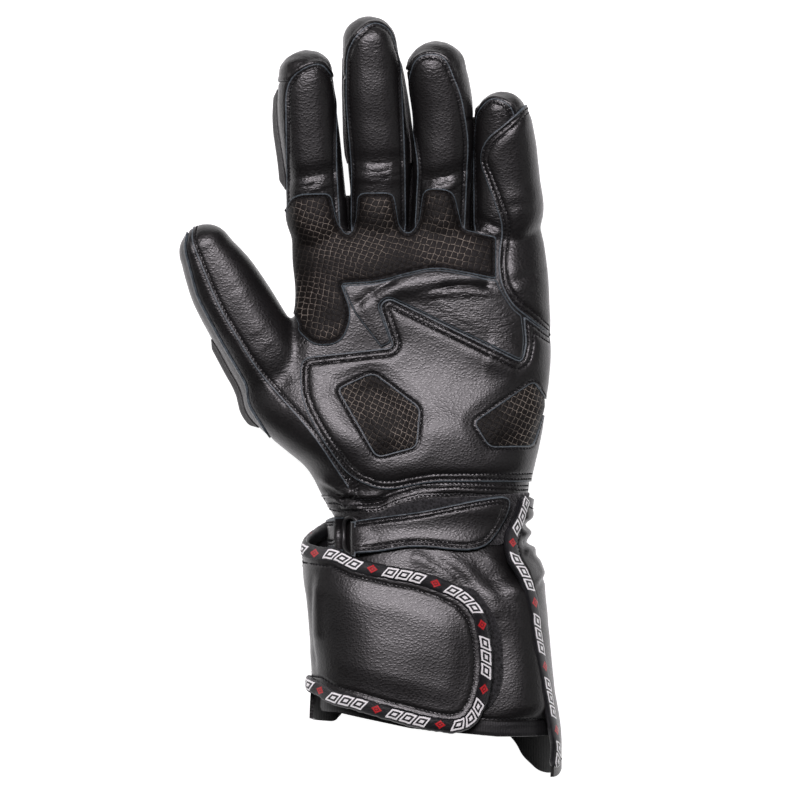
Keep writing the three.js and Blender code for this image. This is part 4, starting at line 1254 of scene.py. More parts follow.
def make_edge_group():
    """The pale raw edge of cut leather."""
    tree = bpy.data.node_groups.new("Cut edge", "ShaderNodeTree")
    start, end = group_inputs(
        tree,
        [("Coordinates", "NodeSocketVector", None), ("Edge", "NodeSocketFloat", FAR)],
        [("Raw", "NodeSocketFloat")],
    )
    speckle = wired(tree, "ShaderNodeTexNoise", Vector=start.outputs["Coordinates"], Scale=700.0, Detail=2.0)
    ragged = maths(tree, "MULTIPLY_ADD", speckle.outputs[0], 0.35, start.outputs["Edge"])
    raw = ramped(tree, ragged, RAW_WIDTH, RAW_WIDTH + RAW_FADE, 1.0, 0.0)
    patchy = ramped(tree, speckle.outputs[0], 0.3, 0.7, 0.45, 1.0)
    tree.links.new(maths(tree, "MULTIPLY", raw, patchy), end.inputs["Raw"])
    return tree


def new_material(name):
    """A material with its shader, output and object coordinates."""
    material = bpy.data.materials.new(name)
    material.use_nodes = True
    tree = material.node_tree
    tree.nodes.clear()
    shader = tree.nodes.new("ShaderNodeBsdfPrincipled")
    output = tree.nodes.new("ShaderNodeOutputMaterial")
    tree.links.new(shader.outputs[0], output.inputs[0])
    place = tree.nodes.new("ShaderNodeTexCoord").outputs["Object"]
    return material, tree, shader, place


def grouped(tree, group, **inputs):
    node = tree.nodes.new("ShaderNodeGroup")
    node.node_tree = bpy.data.node_groups[group]
    for name, value in inputs.items():
        socket = node.inputs[name]
        if isinstance(value, bpy.types.NodeSocket):
            tree.links.new(value, socket)
        else:
            socket.default_value = value
    return node


def bumped(tree, shader, height, distance, strength=1.0):
    bump = wired(tree, "ShaderNodeBump", Height=height, Strength=strength, Distance=distance)
    tree.links.new(bump.outputs[0], shader.inputs["Normal"])


RAW_EDGE = (0.085, 0.107, 0.122, 1)


def attribute(tree, name):
    return wired(tree, "ShaderNodeAttribute", {"attribute_name": name}).outputs["Fac"]


def leather_material(name, colour, rough, pebble=1.0, depth=0.000045):
    """Full-grain leather with a pale cut edge."""
    material, tree, shader, place = new_material(name)
    grain = grouped(tree, "Leather grain", Coordinates=place, Pebble=pebble,
                    Wrinkle=attribute(tree, "wrinkle"), Gather=attribute(tree, "gather"),
                    Along=attribute(tree, "along"))
    for socket, source in (("Seam", "seam"), ("Row", "row"), ("Turn", "turn")):
        tree.links.new(attribute(tree, source), grain.inputs[socket])
    cut = grouped(tree, "Cut edge", Coordinates=place, Edge=attribute(tree, "edge"))
    lighter = tuple(1.5 * c for c in colour) + (1,)
    tone = mixed_colour(tree, ramped(tree, grain.outputs["Tone"], 0.35, 0.65), tuple(colour) + (1,), lighter)
    worn = mixed_colour(tree, cut.outputs["Raw"], tone, RAW_EDGE)
    tree.links.new(worn, shader.inputs["Base Color"])
    roughness = ramped(tree, grain.outputs["Cell"], 0.1, 0.7, rough + 0.06, rough - 0.02)
    roughness = maths(tree, "MULTIPLY_ADD", cut.outputs["Raw"], 0.2, roughness)
    tree.links.new(roughness, shader.inputs["Roughness"])
    shader.inputs["Specular IOR Level"].default_value = 0.55
    bumped(tree, shader, grain.outputs["Height"], depth)
    return material


def grip_material(name, cell, turn, line_colour):
    """Dark brown leather with a pale raised net, whose lines carry a painted sheen in broad patches."""
    material, tree, shader, place = new_material(name)
    edge = attribute(tree, "edge")
    net = grouped(tree, "Grip net", Coordinates=place, Cell=cell, Turn=turn)
    cut = grouped(tree, "Cut edge", Coordinates=place, Edge=edge)
    base = mixed_colour(tree, ramped(tree, net.outputs["Fade"], 0.35, 0.65), (0.0042, 0.0034, 0.003, 1),
                        (0.0085, 0.0067, 0.0057, 1))
    inside = ramped(tree, edge, 1.6, 3.6)
    # Painted sheen: the lines are brighter in broad patches, standing in for where the net catches the light
    share = ramped(tree, net.outputs["Fade"], 0.36, 0.6, 0.12, 1.0)
    line_with_painted_sheen = maths(tree, "MULTIPLY", net.outputs["Line"], share)
    line_with_painted_sheen = maths(tree, "MULTIPLY", line_with_painted_sheen, inside)
    lined = mixed_colour(tree, line_with_painted_sheen, base, line_colour)
    worn = mixed_colour(tree, cut.outputs["Raw"], lined, RAW_EDGE)
    tree.links.new(worn, shader.inputs["Base Color"])
    shader.inputs["Roughness"].default_value = 0.6
    shader.inputs["Specular IOR Level"].default_value = 0.16
    bumped(tree, shader, net.outputs["Height"], 0.00016)
    return material


def pile_material():
    """The fuzzy loops of a hook-and-loop patch."""
    material, tree, shader, place = new_material("Loop pile")
    fuzz = wired(tree, "ShaderNodeTexNoise", Vector=place, Scale=1500.0, Detail=4.0)
    tufts = wired(tree, "ShaderNodeTexVoronoi", Vector=place, Scale=800.0)
    height = maths(tree, "MULTIPLY_ADD", fuzz.outputs[0], 1.2, tufts.outputs["Distance"])
    share = ramped(tree, height, 0.6, 1.5)
    colour = mixed_colour(tree, share, (0.004, 0.004, 0.0045, 1), (0.03, 0.03, 0.032, 1))
    tree.links.new(colour, shader.inputs["Base Color"])
    shader.inputs["Roughness"].default_value = 0.95
    shader.inputs["Specular IOR Level"].default_value = 0.2
    shader.inputs["Sheen Weight"].default_value = 0.25
    bumped(tree, shader, height, 0.0006)
    return material


def lining_material():
    """Close-woven dark lining."""
    material, tree, shader, place = new_material("Lining cloth")
    ribs = wired(tree, "ShaderNodeTexWave", {"bands_direction": "X"}, Vector=place, Scale=300.0,
                 Distortion=2.0)
    fuzz = wired(tree, "ShaderNodeTexNoise", Vector=place, Scale=1200.0, Detail=3.0)
    height = maths(tree, "MULTIPLY_ADD", ribs.outputs["Fac"], 0.35, fuzz.outputs[0])
    share = ramped(tree, height, 0.3, 1.2)
    colour = mixed_colour(tree, share, (0.004, 0.004, 0.0045, 1), (0.011, 0.011, 0.012, 1))
    tree.links.new(colour, shader.inputs["Base Color"])
    shader.inputs["Roughness"].default_value = 0.6
    shader.inputs["Specular IOR Level"].default_value = 0.4
    bumped(tree, shader, height, 0.00012)
    return material


# The binding's print in millimetres: its repeat, its bars and their outlines, and its diamonds
PRINT_REPEAT = 27.0
BAR_PITCH = 5.8
BARS_END = 17.4
BAR_HALF = 2.5
PRINT_HALF = 2.45
OUTLINE_WIDTH = 0.72
CORE_DEPTH = 1.6
DIAMOND_PLACE = 22.2
DIAMOND_HALF = 2.3


def tape_material():
    """Satin tape printed with outlined bars and diamonds."""
    material, tree, shader, place = new_material("Printed binding")
    uv = wired(tree, "ShaderNodeUVMap", {"uv_map": "Tape"})
    split_uv = wired(tree, "ShaderNodeSeparateXYZ", _0=uv.outputs[0])
    along, over = split_uv.outputs[0], split_uv.outputs[1]
    across = maths(tree, "ABSOLUTE", over)
    slanted = maths(tree, "MULTIPLY_ADD", over, 0.42, along)
    place_in = maths(tree, "MODULO", slanted, PRINT_REPEAT)
    in_bar = maths(tree, "MODULO", place_in, BAR_PITCH)
    bar = maths(tree, "ABSOLUTE", maths(tree, "SUBTRACT", in_bar, BAR_PITCH / 2))
    depth = maths(tree, "MINIMUM", maths(tree, "SUBTRACT", BAR_HALF, bar),
                  maths(tree, "SUBTRACT", PRINT_HALF, across))
    outlined = maths(tree, "MULTIPLY", maths(tree, "GREATER_THAN", depth, 0.0),
                     maths(tree, "LESS_THAN", depth, OUTLINE_WIDTH))
    outlined = maths(tree, "MAXIMUM", outlined, maths(tree, "GREATER_THAN", depth, CORE_DEPTH))
    white = maths(tree, "MULTIPLY", outlined, maths(tree, "LESS_THAN", place_in, BARS_END))
    in_repeat = maths(tree, "MODULO", along, PRINT_REPEAT)
    red_place = maths(tree, "ABSOLUTE", maths(tree, "SUBTRACT", in_repeat, DIAMOND_PLACE))
    diamond = maths(tree, "ADD", maths(tree, "DIVIDE", red_place, DIAMOND_HALF),
                    maths(tree, "DIVIDE", across, DIAMOND_HALF))
    ring = maths(tree, "MULTIPLY", maths(tree, "GREATER_THAN", diamond, 0.34),
                 maths(tree, "LESS_THAN", diamond, 0.52))
    red = maths(tree, "SUBTRACT", maths(tree, "LESS_THAN", diamond, 1.0), ring)
    colour = mixed_colour(tree, white, (0.011, 0.011, 0.013, 1), (1, 1, 1, 1))
    colour = mixed_colour(tree, red, colour, (0.56, 0.016, 0.022, 1))
    weave = wired(tree, "ShaderNodeTexWave", {"bands_direction": "X"}, Vector=uv.outputs[0], Scale=1.6)
    crumple = wired(tree, "ShaderNodeTexNoise", Vector=place, Scale=180.0, Detail=3.0)
    height = maths(tree, "MULTIPLY_ADD", crumple.outputs[0], 3.0, weave.outputs["Fac"])
    tree.links.new(colour, shader.inputs["Base Color"])
    shader.inputs["Roughness"].default_value = 0.36
    bumped(tree, shader, height, 0.0001)
    return material


def plain_material(name, colour, rough, scale, depth, shine=0.5):
    """Moulded plastic or thread with a faint texture."""
    material, tree, shader, place = new_material(name)
    noise = wired(tree, "ShaderNodeTexNoise", Vector=place, Scale=scale, Detail=3.0)
    lighter = tuple(1.8 * c for c in colour) + (1,)
    mix = mixed_colour(tree, ramped(tree, noise.outputs[0], 0.3, 0.7), tuple(colour) + (1,), lighter)
    tree.links.new(mix, shader.inputs["Base Color"])
    shader.inputs["Roughness"].default_value = rough
    shader.inputs["Specular IOR Level"].default_value = shine
    bumped(tree, shader, noise.outputs[0], depth)
    return material


materials = {}


class GloveSettings(bpy.types.PropertyGroup):
    """Sizes and colours that a user would change."""

    leather_colour: bpy.props.FloatVectorProperty(
        name="Leather colour", description="Colour of the black leather", subtype="COLOR",
        default=(0.0045, 0.0041, 0.0043), min=0, max=1)
    leather_rough: bpy.props.FloatProperty(
        name="Leather roughness", description="How dull the leather is", default=0.35, min=0, max=1)
    stitch_pitch: bpy.props.FloatProperty(
        name="Stitch pitch", description="From one stitch to the next", default=1.8 * MM, unit="LENGTH")
    stitch_length: bpy.props.FloatProperty(
        name="Stitch length", description="Length of one stitch", default=1.35 * MM, unit="LENGTH")
    thread_radius: bpy.props.FloatProperty(
        name="Thread radius", description="Radius of the sewing thread", default=0.26 * MM, unit="LENGTH")


class GLOVE_OT_materials(bpy.types.Operator):
    """Make the leather, cloth, thread and plastic"""

    bl_idname = "glove.materials"
    bl_label = "Materials"

    def execute(self, context):
        settings = context.scene.glove
        make_grain_group()
        make_net_group()
        make_edge_group()
        colour = tuple(settings.leather_colour)
        materials["leather"] = leather_material("Black leather", colour, settings.leather_rough)
        materials["guard"] = leather_material("Guard leather", (0.007, 0.0066, 0.0066), 0.55, 0.5)
        materials["grip"] = grip_material("Grip leather", 2.4, 0.3, (0.22, 0.19, 0.16, 1))
        materials["pad"] = grip_material("Pad leather", 2.3, 0.5, (0.28, 0.245, 0.205, 1))
        materials["pile"] = pile_material()
        materials["lining"] = lining_material()
        materials["tape"] = tape_material()
        materials["thread"] = plain_material("Black thread", (0.006, 0.006, 0.007), 0.75, 3000.0, 0.0001, 0.2)
        materials["plastic"] = plain_material("Black plastic", (0.01, 0.01, 0.01), 0.38, 900.0, 0.00003)
        return {"FINISHED"}


class GLOVE_OT_skins(bpy.types.Operator):
    """Shape the smooth skins that every piece of leather is cut from"""

    bl_idname = "glove.skins"
    bl_label = "Skins"

    def execute(self, context):
        make_skins()
        return {"FINISHED"}


# The strips beside each finger, which side each is on and the y where it ends
SIDES = {
    "index": [("index_side", -1, 132), ("fourchette_index_middle", 1, 134)],
    "middle": [("fourchette_index_middle", -1, 134), ("fourchette_middle_ring", 1, 137)],
    "ring": [("fourchette_middle_ring", -1, 137), ("fourchette_ring_little", 1, 116)],
    "little": [("fourchette_ring_little", -1, 116)],
}
# The seam between two fingers' backs and how far up their sides touch
WEBS = {
    "fourchette_index_middle": (0, 85),
    "fourchette_middle_ring": (1, 102),
    "fourchette_ring_little": (2, 118),
}
# How far the stitches lie from the edges of the finger fronts and of the thumb's front
FRONT_ROW = 1.7
THUMB_ROW = 1.5
# y of the upper end of each finger's front
FINGER_TIPS = {"index": 141, "middle": 157, "ring": 144, "little": 126}


def above_base(points):
    return points[:, 1] > FINGER_START + 0.5


class GLOVE_OT_fingers(bpy.types.Operator):
    """Cut and sew the fronts, sides and backs of the four fingers"""

    bl_idname = "glove.fingers"
    bl_label = "Fingers"

    def execute(self, context):
        strips = {}
        for i, name in enumerate(FINGER_NAMES):
            left = BACK_SEAMS[i - 1] if i else [[-200, 50], [-200, 170]]
            right = BACK_SEAMS[i] if i < 3 else [[200, 50], [200, 170]]
            own = cut_out(
                name,
                lambda p: p[:, 1] - FINGER_START,
                lambda p, line=left: p[:, 0] - line_at(line, p[:, 1]),
                lambda p, line=right: line_at(line, p[:, 1]) - p[:, 0],
            )

            def front_field(p, outline=FINGER_FRONTS[name]):
                return np.minimum(inside_plan(p, outline), above_climb(p, FRONT_LOW))

            front = measure_edge(cut_out(own, front_field), above_base)
            front = scored(front, row_levels([FRONT_ROW]))
            edge = front.values["edge"]
            arc = [corner[:2] for corner in FINGER_FRONTS[name][1:-1]]
            distance, place = route_distance(front.points, arc)
            near_tip = smoothstep(front.points[:, 1], FINGER_TIPS[name] - 18, FINGER_TIPS[name] - 10)
            front.values["gather"] = np.exp(-((edge / 3.2) ** 2)) * near_tip
            length = np.linalg.norm(np.diff(np.array(arc), axis=0), axis=1).sum()
            front.values["along"] = place * length
            tucked = near_tip * np.exp(-((edge / 1.6) ** 2))
            top = seam_lift(edge, [FRONT_ROW]) + 0.3 * smoothstep(edge, 2.5, 7) - 0.5 * tucked
            finish_piece(name + "_front_leather", front, top, -LEATHER, materials["leather"],
                         [name + "_front"], None, [FRONT_ROW], "finger_stitching")
            middle = np.array(FINGERS[name]["sections"], float)[:, :2]
            rest = split(own, -front_field(own.points))
            side_fields = []
            for strip, side, end in SIDES[name]:
                def side_field(p, side=side, end=end, middle=middle):
                    sideways = side * (p[:, 0] - line_at(middle, p[:, 1]))
                    return np.minimum(np.minimum(sideways, end - p[:, 1]), above_climb(p, STRIP_LOW))

                side_fields.append(side_field)
                strips.setdefault(strip, []).append(measure_edge(cut_out(rest, side_field), above_base))
            back = rest
            for side_field in side_fields:
                back = split(back, -side_field(back.points))
            back = scored(measure_edge(back, above_base), SEAM_LEVELS)
            on_tip = smoothstep(back.points[:, 1], FINGER_TIPS[name] - 16, FINGER_TIPS[name] - 4)
            swell = 0.55 * np.exp(-(((back.values["edge"] - 0.7) / 0.9) ** 2))
            top = (1 - on_tip) * valley_lift(back.values["edge"]) + on_tip * swell
            top = top + on_tip * uneven(back.points, 21, 6, 0.14)
            finish_piece(name + "_back_leather", back, top, -LEATHER,
                         materials["leather"], [name + "_back"], raw=False)
        for strip, sheets in strips.items():
            parts = [scored(each, SEAM_LEVELS) for each in sheets]
            if strip in WEBS:
                parts.append(web_between(*WEBS[strip]))
            sheet = merged(parts)
            finish_piece(strip + "_leather", sheet, valley_lift(sheet.values["edge"]), -LEATHER,
                         materials["leather"], [strip], raw=False)
        return {"FINISHED"}


def on_thumb(points):
    return inside_plan(points, THUMB_REGION)


class GLOVE_OT_thumb(bpy.types.Operator):
    """Cut and sew the three panels of the thumb"""

    bl_idname = "glove.thumb"
    bl_label = "Thumb"

    def execute(self, context):
        own = cut_out("hand", on_thumb)

        def seams_only(points):
            return (points[:, 1] > -41) & ((points[:, 0] < -36) | (points[:, 2] < 30))

        def front_field(p):
            return np.minimum(inside_plan(p, THUMB_FRONT), p[:, 2] - THUMB_LOW)

        def inner_field(p):
            return np.minimum(inside_plan(p, THUMB_INNER), p[:, 2] - THUMB_LOW)

        front = measure_edge(cut_out(own, front_field), lambda p: inside_plan(p, THUMB_FRONT) < 0.6)
        front = scored(front, row_levels([THUMB_ROW]))
        top = seam_lift(front.values["edge"], [THUMB_ROW], 0.35)
        finish_piece("thumb_front_leather", front, top, -LEATHER, materials["leather"],
                     ["thumb_front"], None, [THUMB_ROW], "thumb_stitching")
        rest = split(own, -front_field(own.points))
        side = scored(measure_edge(cut_out(rest, inner_field), seams_only), SEAM_LEVELS)
        edge = side.values["edge"]
        finish_piece("thumb_side_leather", side, valley_lift(edge), -LEATHER,
                     materials["leather"], ["thumb_side"], raw=False)
        back = split(rest, -inner_field(rest.points))
        back = scored(measure_edge(back, seams_only), SEAM_LEVELS)
        top = 0.45 * np.exp(-((back.values["edge"] / 0.9) ** 2))
        finish_piece("thumb_back_leather", back, top, -LEATHER,
                     materials["leather"], ["thumb_back"])
        return {"FINISHED"}


class GLOVE_OT_hand(bpy.types.Operator):
    """Cut the palm leather and the plain back of the hand"""

    bl_idname = "glove.hand"
    bl_label = "Palm and back"

    def execute(self, context):
        own = cut_out("hand", lambda p: FINGER_START - p[:, 1], lambda p: -on_thumb(p))
        palm = cut_out(own, lambda p: p[:, 2] - SPLIT_Z, lambda p: p[:, 1] - height_line(WRIST_SEAM, p[:, 0]))
        palm = scored(measure_edge(palm, lambda p: (p[:, 1] < 60) & (p[:, 2] < 34) | (p[:, 1] < -36)),
                      row_levels(WRIST_ROWS))
        edge = palm.values["edge"]
        near_wrist = smoothstep(-palm.points[:, 1], 30, 38)
        top = near_wrist * (0.5 * np.exp(-((edge / 1.2) ** 2)) + channel(edge, WRIST_ROWS, 0.3))
        # A bead fills the joint between the side panel and the heel panel where it reaches the outline
        joint, _ = route_distance(palm.points, [[64, 32.8], [79, 21.3]])
        top = top + 1.2 * np.exp(-((joint / 0.7) ** 2)) * smoothstep(palm.points[:, 0], 66, 70)
        finish_piece("palm_base_leather", palm, top, -LEATHER, materials["leather"],
                     ["palm_base"], None, WRIST_ROWS, "wrist_stitching", raw=False)
        back = cut_out(own, lambda p: SPLIT_Z - p[:, 2], lambda p: p[:, 1] - BACK_END)
        back = scored(measure_edge(back, lambda p: (p[:, 1] < 64) & (p[:, 2] > 12)), SEAM_LEVELS)
        finish_piece("hand_back_leather", back, valley_lift(back.values["edge"]), -LEATHER,
                     materials["leather"], ["hand_back"], materials["lining"], raw=False)
        return {"FINISHED"}


def panel(name, outline, low, top, rows, material, node, group, keep_off=(), seam=None, lip=1.1,
          windows=(), raw=True):
    """A panel sewn on over the hand, with its outline in plan and rows of stitches."""
    fields = [lambda p: p[:, 2] - low, lambda p: inside_plan(p, outline)]
    fields += [lambda p, other=other: -inside_plan(p, other) - 0.15 for other in keep_off]
    sheet = scored(measure_edge(cut_out("hand", *fields), seam), row_levels(rows))
    near = np.full(len(sheet.points), FAR)
    for window in windows:
        hole = rounded(window)
        near = np.minimum(near, route_distance(sheet.points, np.vstack([hole, hole[:1]]))[0])
    sheet.values["second"] = smoothstep(near, 4.6, 6)
    edge = sheet.values["edge"]
    lift = panel_lift(edge, top, rows[:1], lip) + sheet.values["second"] * channel(edge, rows[1:], 0.4)
    lift = 0.35 + (lift - 0.35) * smoothstep(sheet.points[:, 0], -36.5, -30)
    return finish_piece(name, sheet, lift, 0.08, material, [node], None, rows, group, raw)


class GLOVE_OT_palm_panels(bpy.types.Operator):
    """Sew the grip leather, gusset, heel panel, pads and side panel on the palm"""

    bl_idname = "glove.palm_panels"
    bl_label = "Palm panels"

    def execute(self, context):
        leather, grip = materials["leather"], materials["grip"]
        panel("little_side_panel_leather", LITTLE_SIDE, PANEL_LOW, PANEL_TOP, [1.4, 3.3], leather,
              "little_side_panel", "palm_stitching", seam=lambda p: p[:, 2] > UPPER_LOW)
        panel("grip_panel_leather", GRIP, PANEL_LOW, PANEL_TOP - 0.3, [1.4], grip, "grip_panel",
              "palm_stitching", [LITTLE_SIDE, THUMB_REGION],
              seam=lambda p: p[:, 2] > UPPER_LOW)
        panel("palm_gusset_leather", GUSSET, PANEL_LOW, PANEL_TOP - 0.2, [], leather, "palm_gusset",
              "palm_stitching", [GRIP, LITTLE_SIDE, HEEL], lip=1.3)
        panel("heel_panel_leather", HEEL, PANEL_LOW, HEEL_TOP, [1.2, 3.4], leather, "heel_panel",
              "palm_stitching", [LITTLE_SIDE, THUMB_WINDOW, LITTLE_WINDOW],
              seam=lambda p: p[:, 2] > UPPER_LOW, windows=[THUMB_WINDOW, LITTLE_WINDOW])
        for name, outline in (("thumb", THUMB_WINDOW), ("little", LITTLE_WINDOW)):
            node = f"heel_pad_{name}"
            pad = panel(node + "_grip", outline, PANEL_LOW, PAD_TOP, [], materials["pad"], node,
                        "palm_stitching", lip=0.7, raw=False)
        return {"FINISHED"}


class GLOVE_OT_guards(bpy.types.Operator):
    """Add the padded panels whose edges show beside the fingers and the thumb"""

    bl_idname = "glove.guards"
    bl_label = "Guards"

    def execute(self, context):
        regions = {
            "index": [lambda p: -18.5 - p[:, 0], lambda p: p[:, 1] - 87, lambda p: 129 - p[:, 1],
                      lambda p: FINGER_GUARD_TOP - p[:, 2]],
            "middle": [lambda p: p[:, 0] + 15, lambda p: p[:, 1] - 98, lambda p: 142 - p[:, 1],
                       lambda p: FINGER_GUARD_TOP - p[:, 2]],
            "thumb": [lambda p: inside_plan(p, THUMB_GUARD), lambda p: THUMB_GUARD_TOP - p[:, 2]],
        }
        for name, fields in regions.items():
            skin = "hand" if name == "thumb" else name
            sheet = scored(measure_edge(cut_out(skin, *fields)), [0.3, 0.8, 1.6])
            rise = GUARD_TOP * smoothstep(sheet.values["edge"], -0.6, 4.5)
            if name == "middle":
                rise = rise * np.where(sheet.points[:, 0] < 0, 0.35, 0.8)
            lift = 0.4 + rise
            guard = finish_piece(name + "_guard_leather", sheet, lift, 0.1, materials["guard"],
                                 [name + "_guard"], raw=False)
        return {"FINISHED"}


# The ring's route in plan, its height over the skin, the leather's turn round it and its wire's radius
RING_ROUTE = [[STRAP_BAR, -52.8], [STRAP_BAR, -58], [STRAP_BAR, -65], [-9, -67], [TAB_BAR, -64],
              [TAB_BAR, -58], [TAB_BAR, -52], [-9, -50.2]]
RING_LIFT = 2.6
ROLL = 2.3
RING_WIRE = 0.95


def rolled(x, low, high, way):
    """Leather that turns round one bar of the ring, from its top round the side to below."""
    tree = surface_tree("smooth")
    turns = np.radians(np.linspace(-25, 195, 26))
    rows, outward = [], []
    for y in np.arange(low, high + 0.01, 0.6):
        base, normal = seen_from_above(tree, x, y)
        up = np.array([normal.x, 0, normal.z]) / math.hypot(normal.x, normal.z)
        side = way * np.array([up[2], 0, -up[0]])
        away = np.outer(np.cos(turns), up) + np.outer(np.sin(turns), side)
        rows.append(np.array(base) + up * RING_LIFT + away * ROLL)
        outward.append(away)
    count, steps = len(rows), len(turns)
    start = (np.arange(count - 1)[:, None] * steps + np.arange(steps - 1)).ravel()
    quads = np.column_stack([start, start + 1, start + steps + 1, start + steps])
    faces = np.vstack([quads[:, [0, 1, 2]], quads[:, [0, 2, 3]]])
    points, away = np.vstack(rows), np.vstack(outward)
    if np.einsum("ij,ij->i", normals_of(points, faces), away).sum() < 0:
        faces = faces[:, ::-1]
    return measure_edge(Sheet(points, faces, away))


def loop_patch(name, outline):
    """A patch of loop pile on the hand's upper side."""
    patch = cut_out("hand", lambda p: p[:, 2] - PANEL_LOW, lambda p: inside_plan(p, outline))
    patch = scored(measure_edge(patch), [0.3, 0.8])
    finish_piece(name + "_pile", patch, panel_lift(patch.values["edge"], PATCH_TOP, []), 0.05,
                 materials["pile"], [name])


class GLOVE_OT_wrist(bpy.types.Operator):
    """Add the wrist strap, its tab, ring and loop patch"""

    bl_idname = "glove.wrist"
    bl_label = "Wrist fastening"

    def execute(self, context):
        # The loop patch's dark pile is partly painted shade between the wrist seam and the strap
        loop_patch("wrist_loop_patch", WRIST_PATCH_AND_SHADE)
        rows = [1.2, 2.7]
        # The bar's x, the lowest and highest y of the leather round it, and the way that turns
        ends = {"wrist_strap": (STRAP_BAR, -66.9, -52.1, -1), "strap_tab": (TAB_BAR, -64.7, -50.5, 1)}
        for name, outline, low in (("wrist_strap", STRAP_OUTLINE, PANEL_LOW), ("strap_tab", TAB_OUTLINE, 10)):
            end = ends[name][0]
            sheet = cut_out("smooth", lambda p: p[:, 2] - low, lambda p: inside_plan(p, outline))
            sheet = measure_edge(sheet, lambda p: np.abs(p[:, 0] - end) > 0.4)
            sheet = scored(sheet, row_levels(rows))
            edge = sheet.values["edge"]
            climb = (RING_LIFT + ROLL - STRAP_TOP) * np.exp(-(((sheet.points[:, 0] - end) / 4.5) ** 2))
            away = smoothstep(np.abs(sheet.points[:, 0] - end), 2, 9)
            tilt = 0.13 * away * np.clip(sheet.points[:, 1] + 57, -8, 8)
            top = STRAP_TOP + tilt + climb - 0.5 * np.exp(-edge / 0.3) + channel(edge, rows)
            under = PATCH_TOP + 0.2 + climb
            roll = rolled(*ends[name])
            whole = merged([sheet, roll])
            top = np.concatenate([top, np.zeros(len(roll.points))])
            under = np.concatenate([under, np.full(len(roll.points), -1.2)])
            finish_piece(name + "_leather", whole, top, under, materials["leather"], [name],
                         None, rows, "strap_stitching")
        tree = surface_tree("smooth")
        bpy.ops.curve.primitive_bezier_circle_add()
        ring = bpy.context.object
        ring.name = "strap_ring_plastic"
        curve = ring.data
        curve.splines.clear()
        line = curve.splines.new("NURBS")
        line.points.add(len(RING_ROUTE) - 1)
        for point, (x, y) in zip(line.points, RING_ROUTE):
            point.co = (x * MM, y * MM, (on_top(tree, x, y) + RING_LIFT) * MM, 1)
        line.use_cyclic_u = True
        line.order_u = 3
        line.resolution_u = 8
        curve.dimensions = "3D"
        curve.bevel_depth = RING_WIRE * MM
        curve.bevel_resolution = 4
        select_only(ring)
        bpy.ops.object.convert(target="MESH")
        ring = bpy.context.object
        ring.data.materials.append(materials["plastic"])
        ring.data.polygons.foreach_set("use_smooth", np.ones(len(ring.data.polygons), bool))
        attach(ring, "root")
        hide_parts("strap_ring")
        return {"FINISHED"}


# Half the binding's width and thickness, and how deep its middle sits in the leather
TAPE_HALF_WIDTH = 3.1
TAPE_HALF_HEIGHT = 1.75
TAPE_SINK = 0.9
# How far the stitches lie from the edges of the gauntlet's front, flap and back
HEM_ROW = 1.2
FLAP_ROW = 4.6
BACK_ROW = 3.9


class GLOVE_OT_cuff(bpy.types.Operator):
    """Cut the gauntlet's front, hem, flap and back, and bind their edges"""

    bl_idname = "glove.cuff"
    bl_label = "Gauntlet"

    def execute(self, context):
        leather, lining = materials["leather"], materials["lining"]
        sleeve = cut_out("hand", lambda p: p[:, 2] - SPLIT_Z, lambda p: -p[:, 1] - 30)

        def hem_rise(p):
            return p[:, 1] - height_line(FRONT_HEM, p[:, 0])

        front = cut_out(sleeve, lambda p: height_line(WRIST_SEAM, p[:, 0]) - p[:, 1],
                        lambda p: hem_rise(p) - HEM_BAND)
        front = scored(measure_edge(front, lambda p: (p[:, 2] > 26)), row_levels([HEM_ROW]))
        edge = front.values["edge"]
        low_part = smoothstep(-front.points[:, 1], 100, 110)
        top = valley_lift(edge) * 0.8 + low_part * channel(edge, [HEM_ROW])
        finish_piece("cuff_front_leather", front, top, -LEATHER, leather, ["cuff_front"], lining,
                     [HEM_ROW], "cuff_stitching", raw=False)
        hem = cut_out(sleeve, hem_rise, lambda p: HEM_BAND - hem_rise(p))
        hem = scored(measure_edge(hem), [0.3, 0.8, 1.5])
        finish_piece("cuff_hem_cloth", hem, 0.5 * smoothstep(hem.values["edge"], 0, 1.5), -LEATHER, lining,
                     ["cuff_hem"], lining)
        loop_patch("flap_loop_patch", FLAP_PATCH)
        flap_plan = [[-60, -62, 0], *([x, y, 0] for x, y in FLAP_EDGE), [-60, -121, 0]]
        flap = cut_out("cuff", lambda p: p[:, 2] - CUFF_SIDE_Z, lambda p: inside_plan(p, flap_plan))
        flap = scored(measure_edge(flap, lambda p: p[:, 2] > CUFF_SIDE_Z + 2), row_levels([FLAP_ROW]))
        edge = flap.values["edge"]
        top = channel(edge, [FLAP_ROW], 0.5, 0.7) + 0.9 * smoothstep(edge, 5, 16)
        finish_piece("cuff_flap_leather", flap, top, -LEATHER, leather, ["cuff_flap"], lining,
                     [FLAP_ROW], "cuff_stitching", raw=False)
        beyond = [[75, -170], [100, -170], [100, -36], [64, -36]]
        lap_plan = [[x, y, 0] for x, y in [*RIGHT_EDGE, *beyond]]
        back = cut_out("cuff", lambda p: np.maximum(CUFF_SIDE_Z - p[:, 2], inside_plan(p, lap_plan)),
                       lambda p: inside_plan(p, BACK_PLAN))
        back = scored(measure_edge(back), row_levels([BACK_ROW]))
        edge = back.values["edge"]
        finish_piece("cuff_back_leather", back, channel(edge, [BACK_ROW], 0.3), -LEATHER, leather,
                     ["cuff_back"], lining, [BACK_ROW], "cuff_stitching", raw=False)
        tree = surface_tree("cuff")

        def on_cuff(edge_plan):
            return [[x, y, on_top(tree, x, y) - TAPE_SINK] for x, y in edge_plan]

        flap_route = [*COLLAR_EDGE, *on_cuff(FLAP_EDGE), *FLAP_WRAP]
        for name, route in (("flap_binding", flap_route), ("edge_binding", on_cuff(RIGHT_EDGE))):
            tape(name + "_tape", route, tree, TAPE_HALF_WIDTH, TAPE_HALF_HEIGHT, materials["tape"],
                 [name])
        return {"FINISHED"}


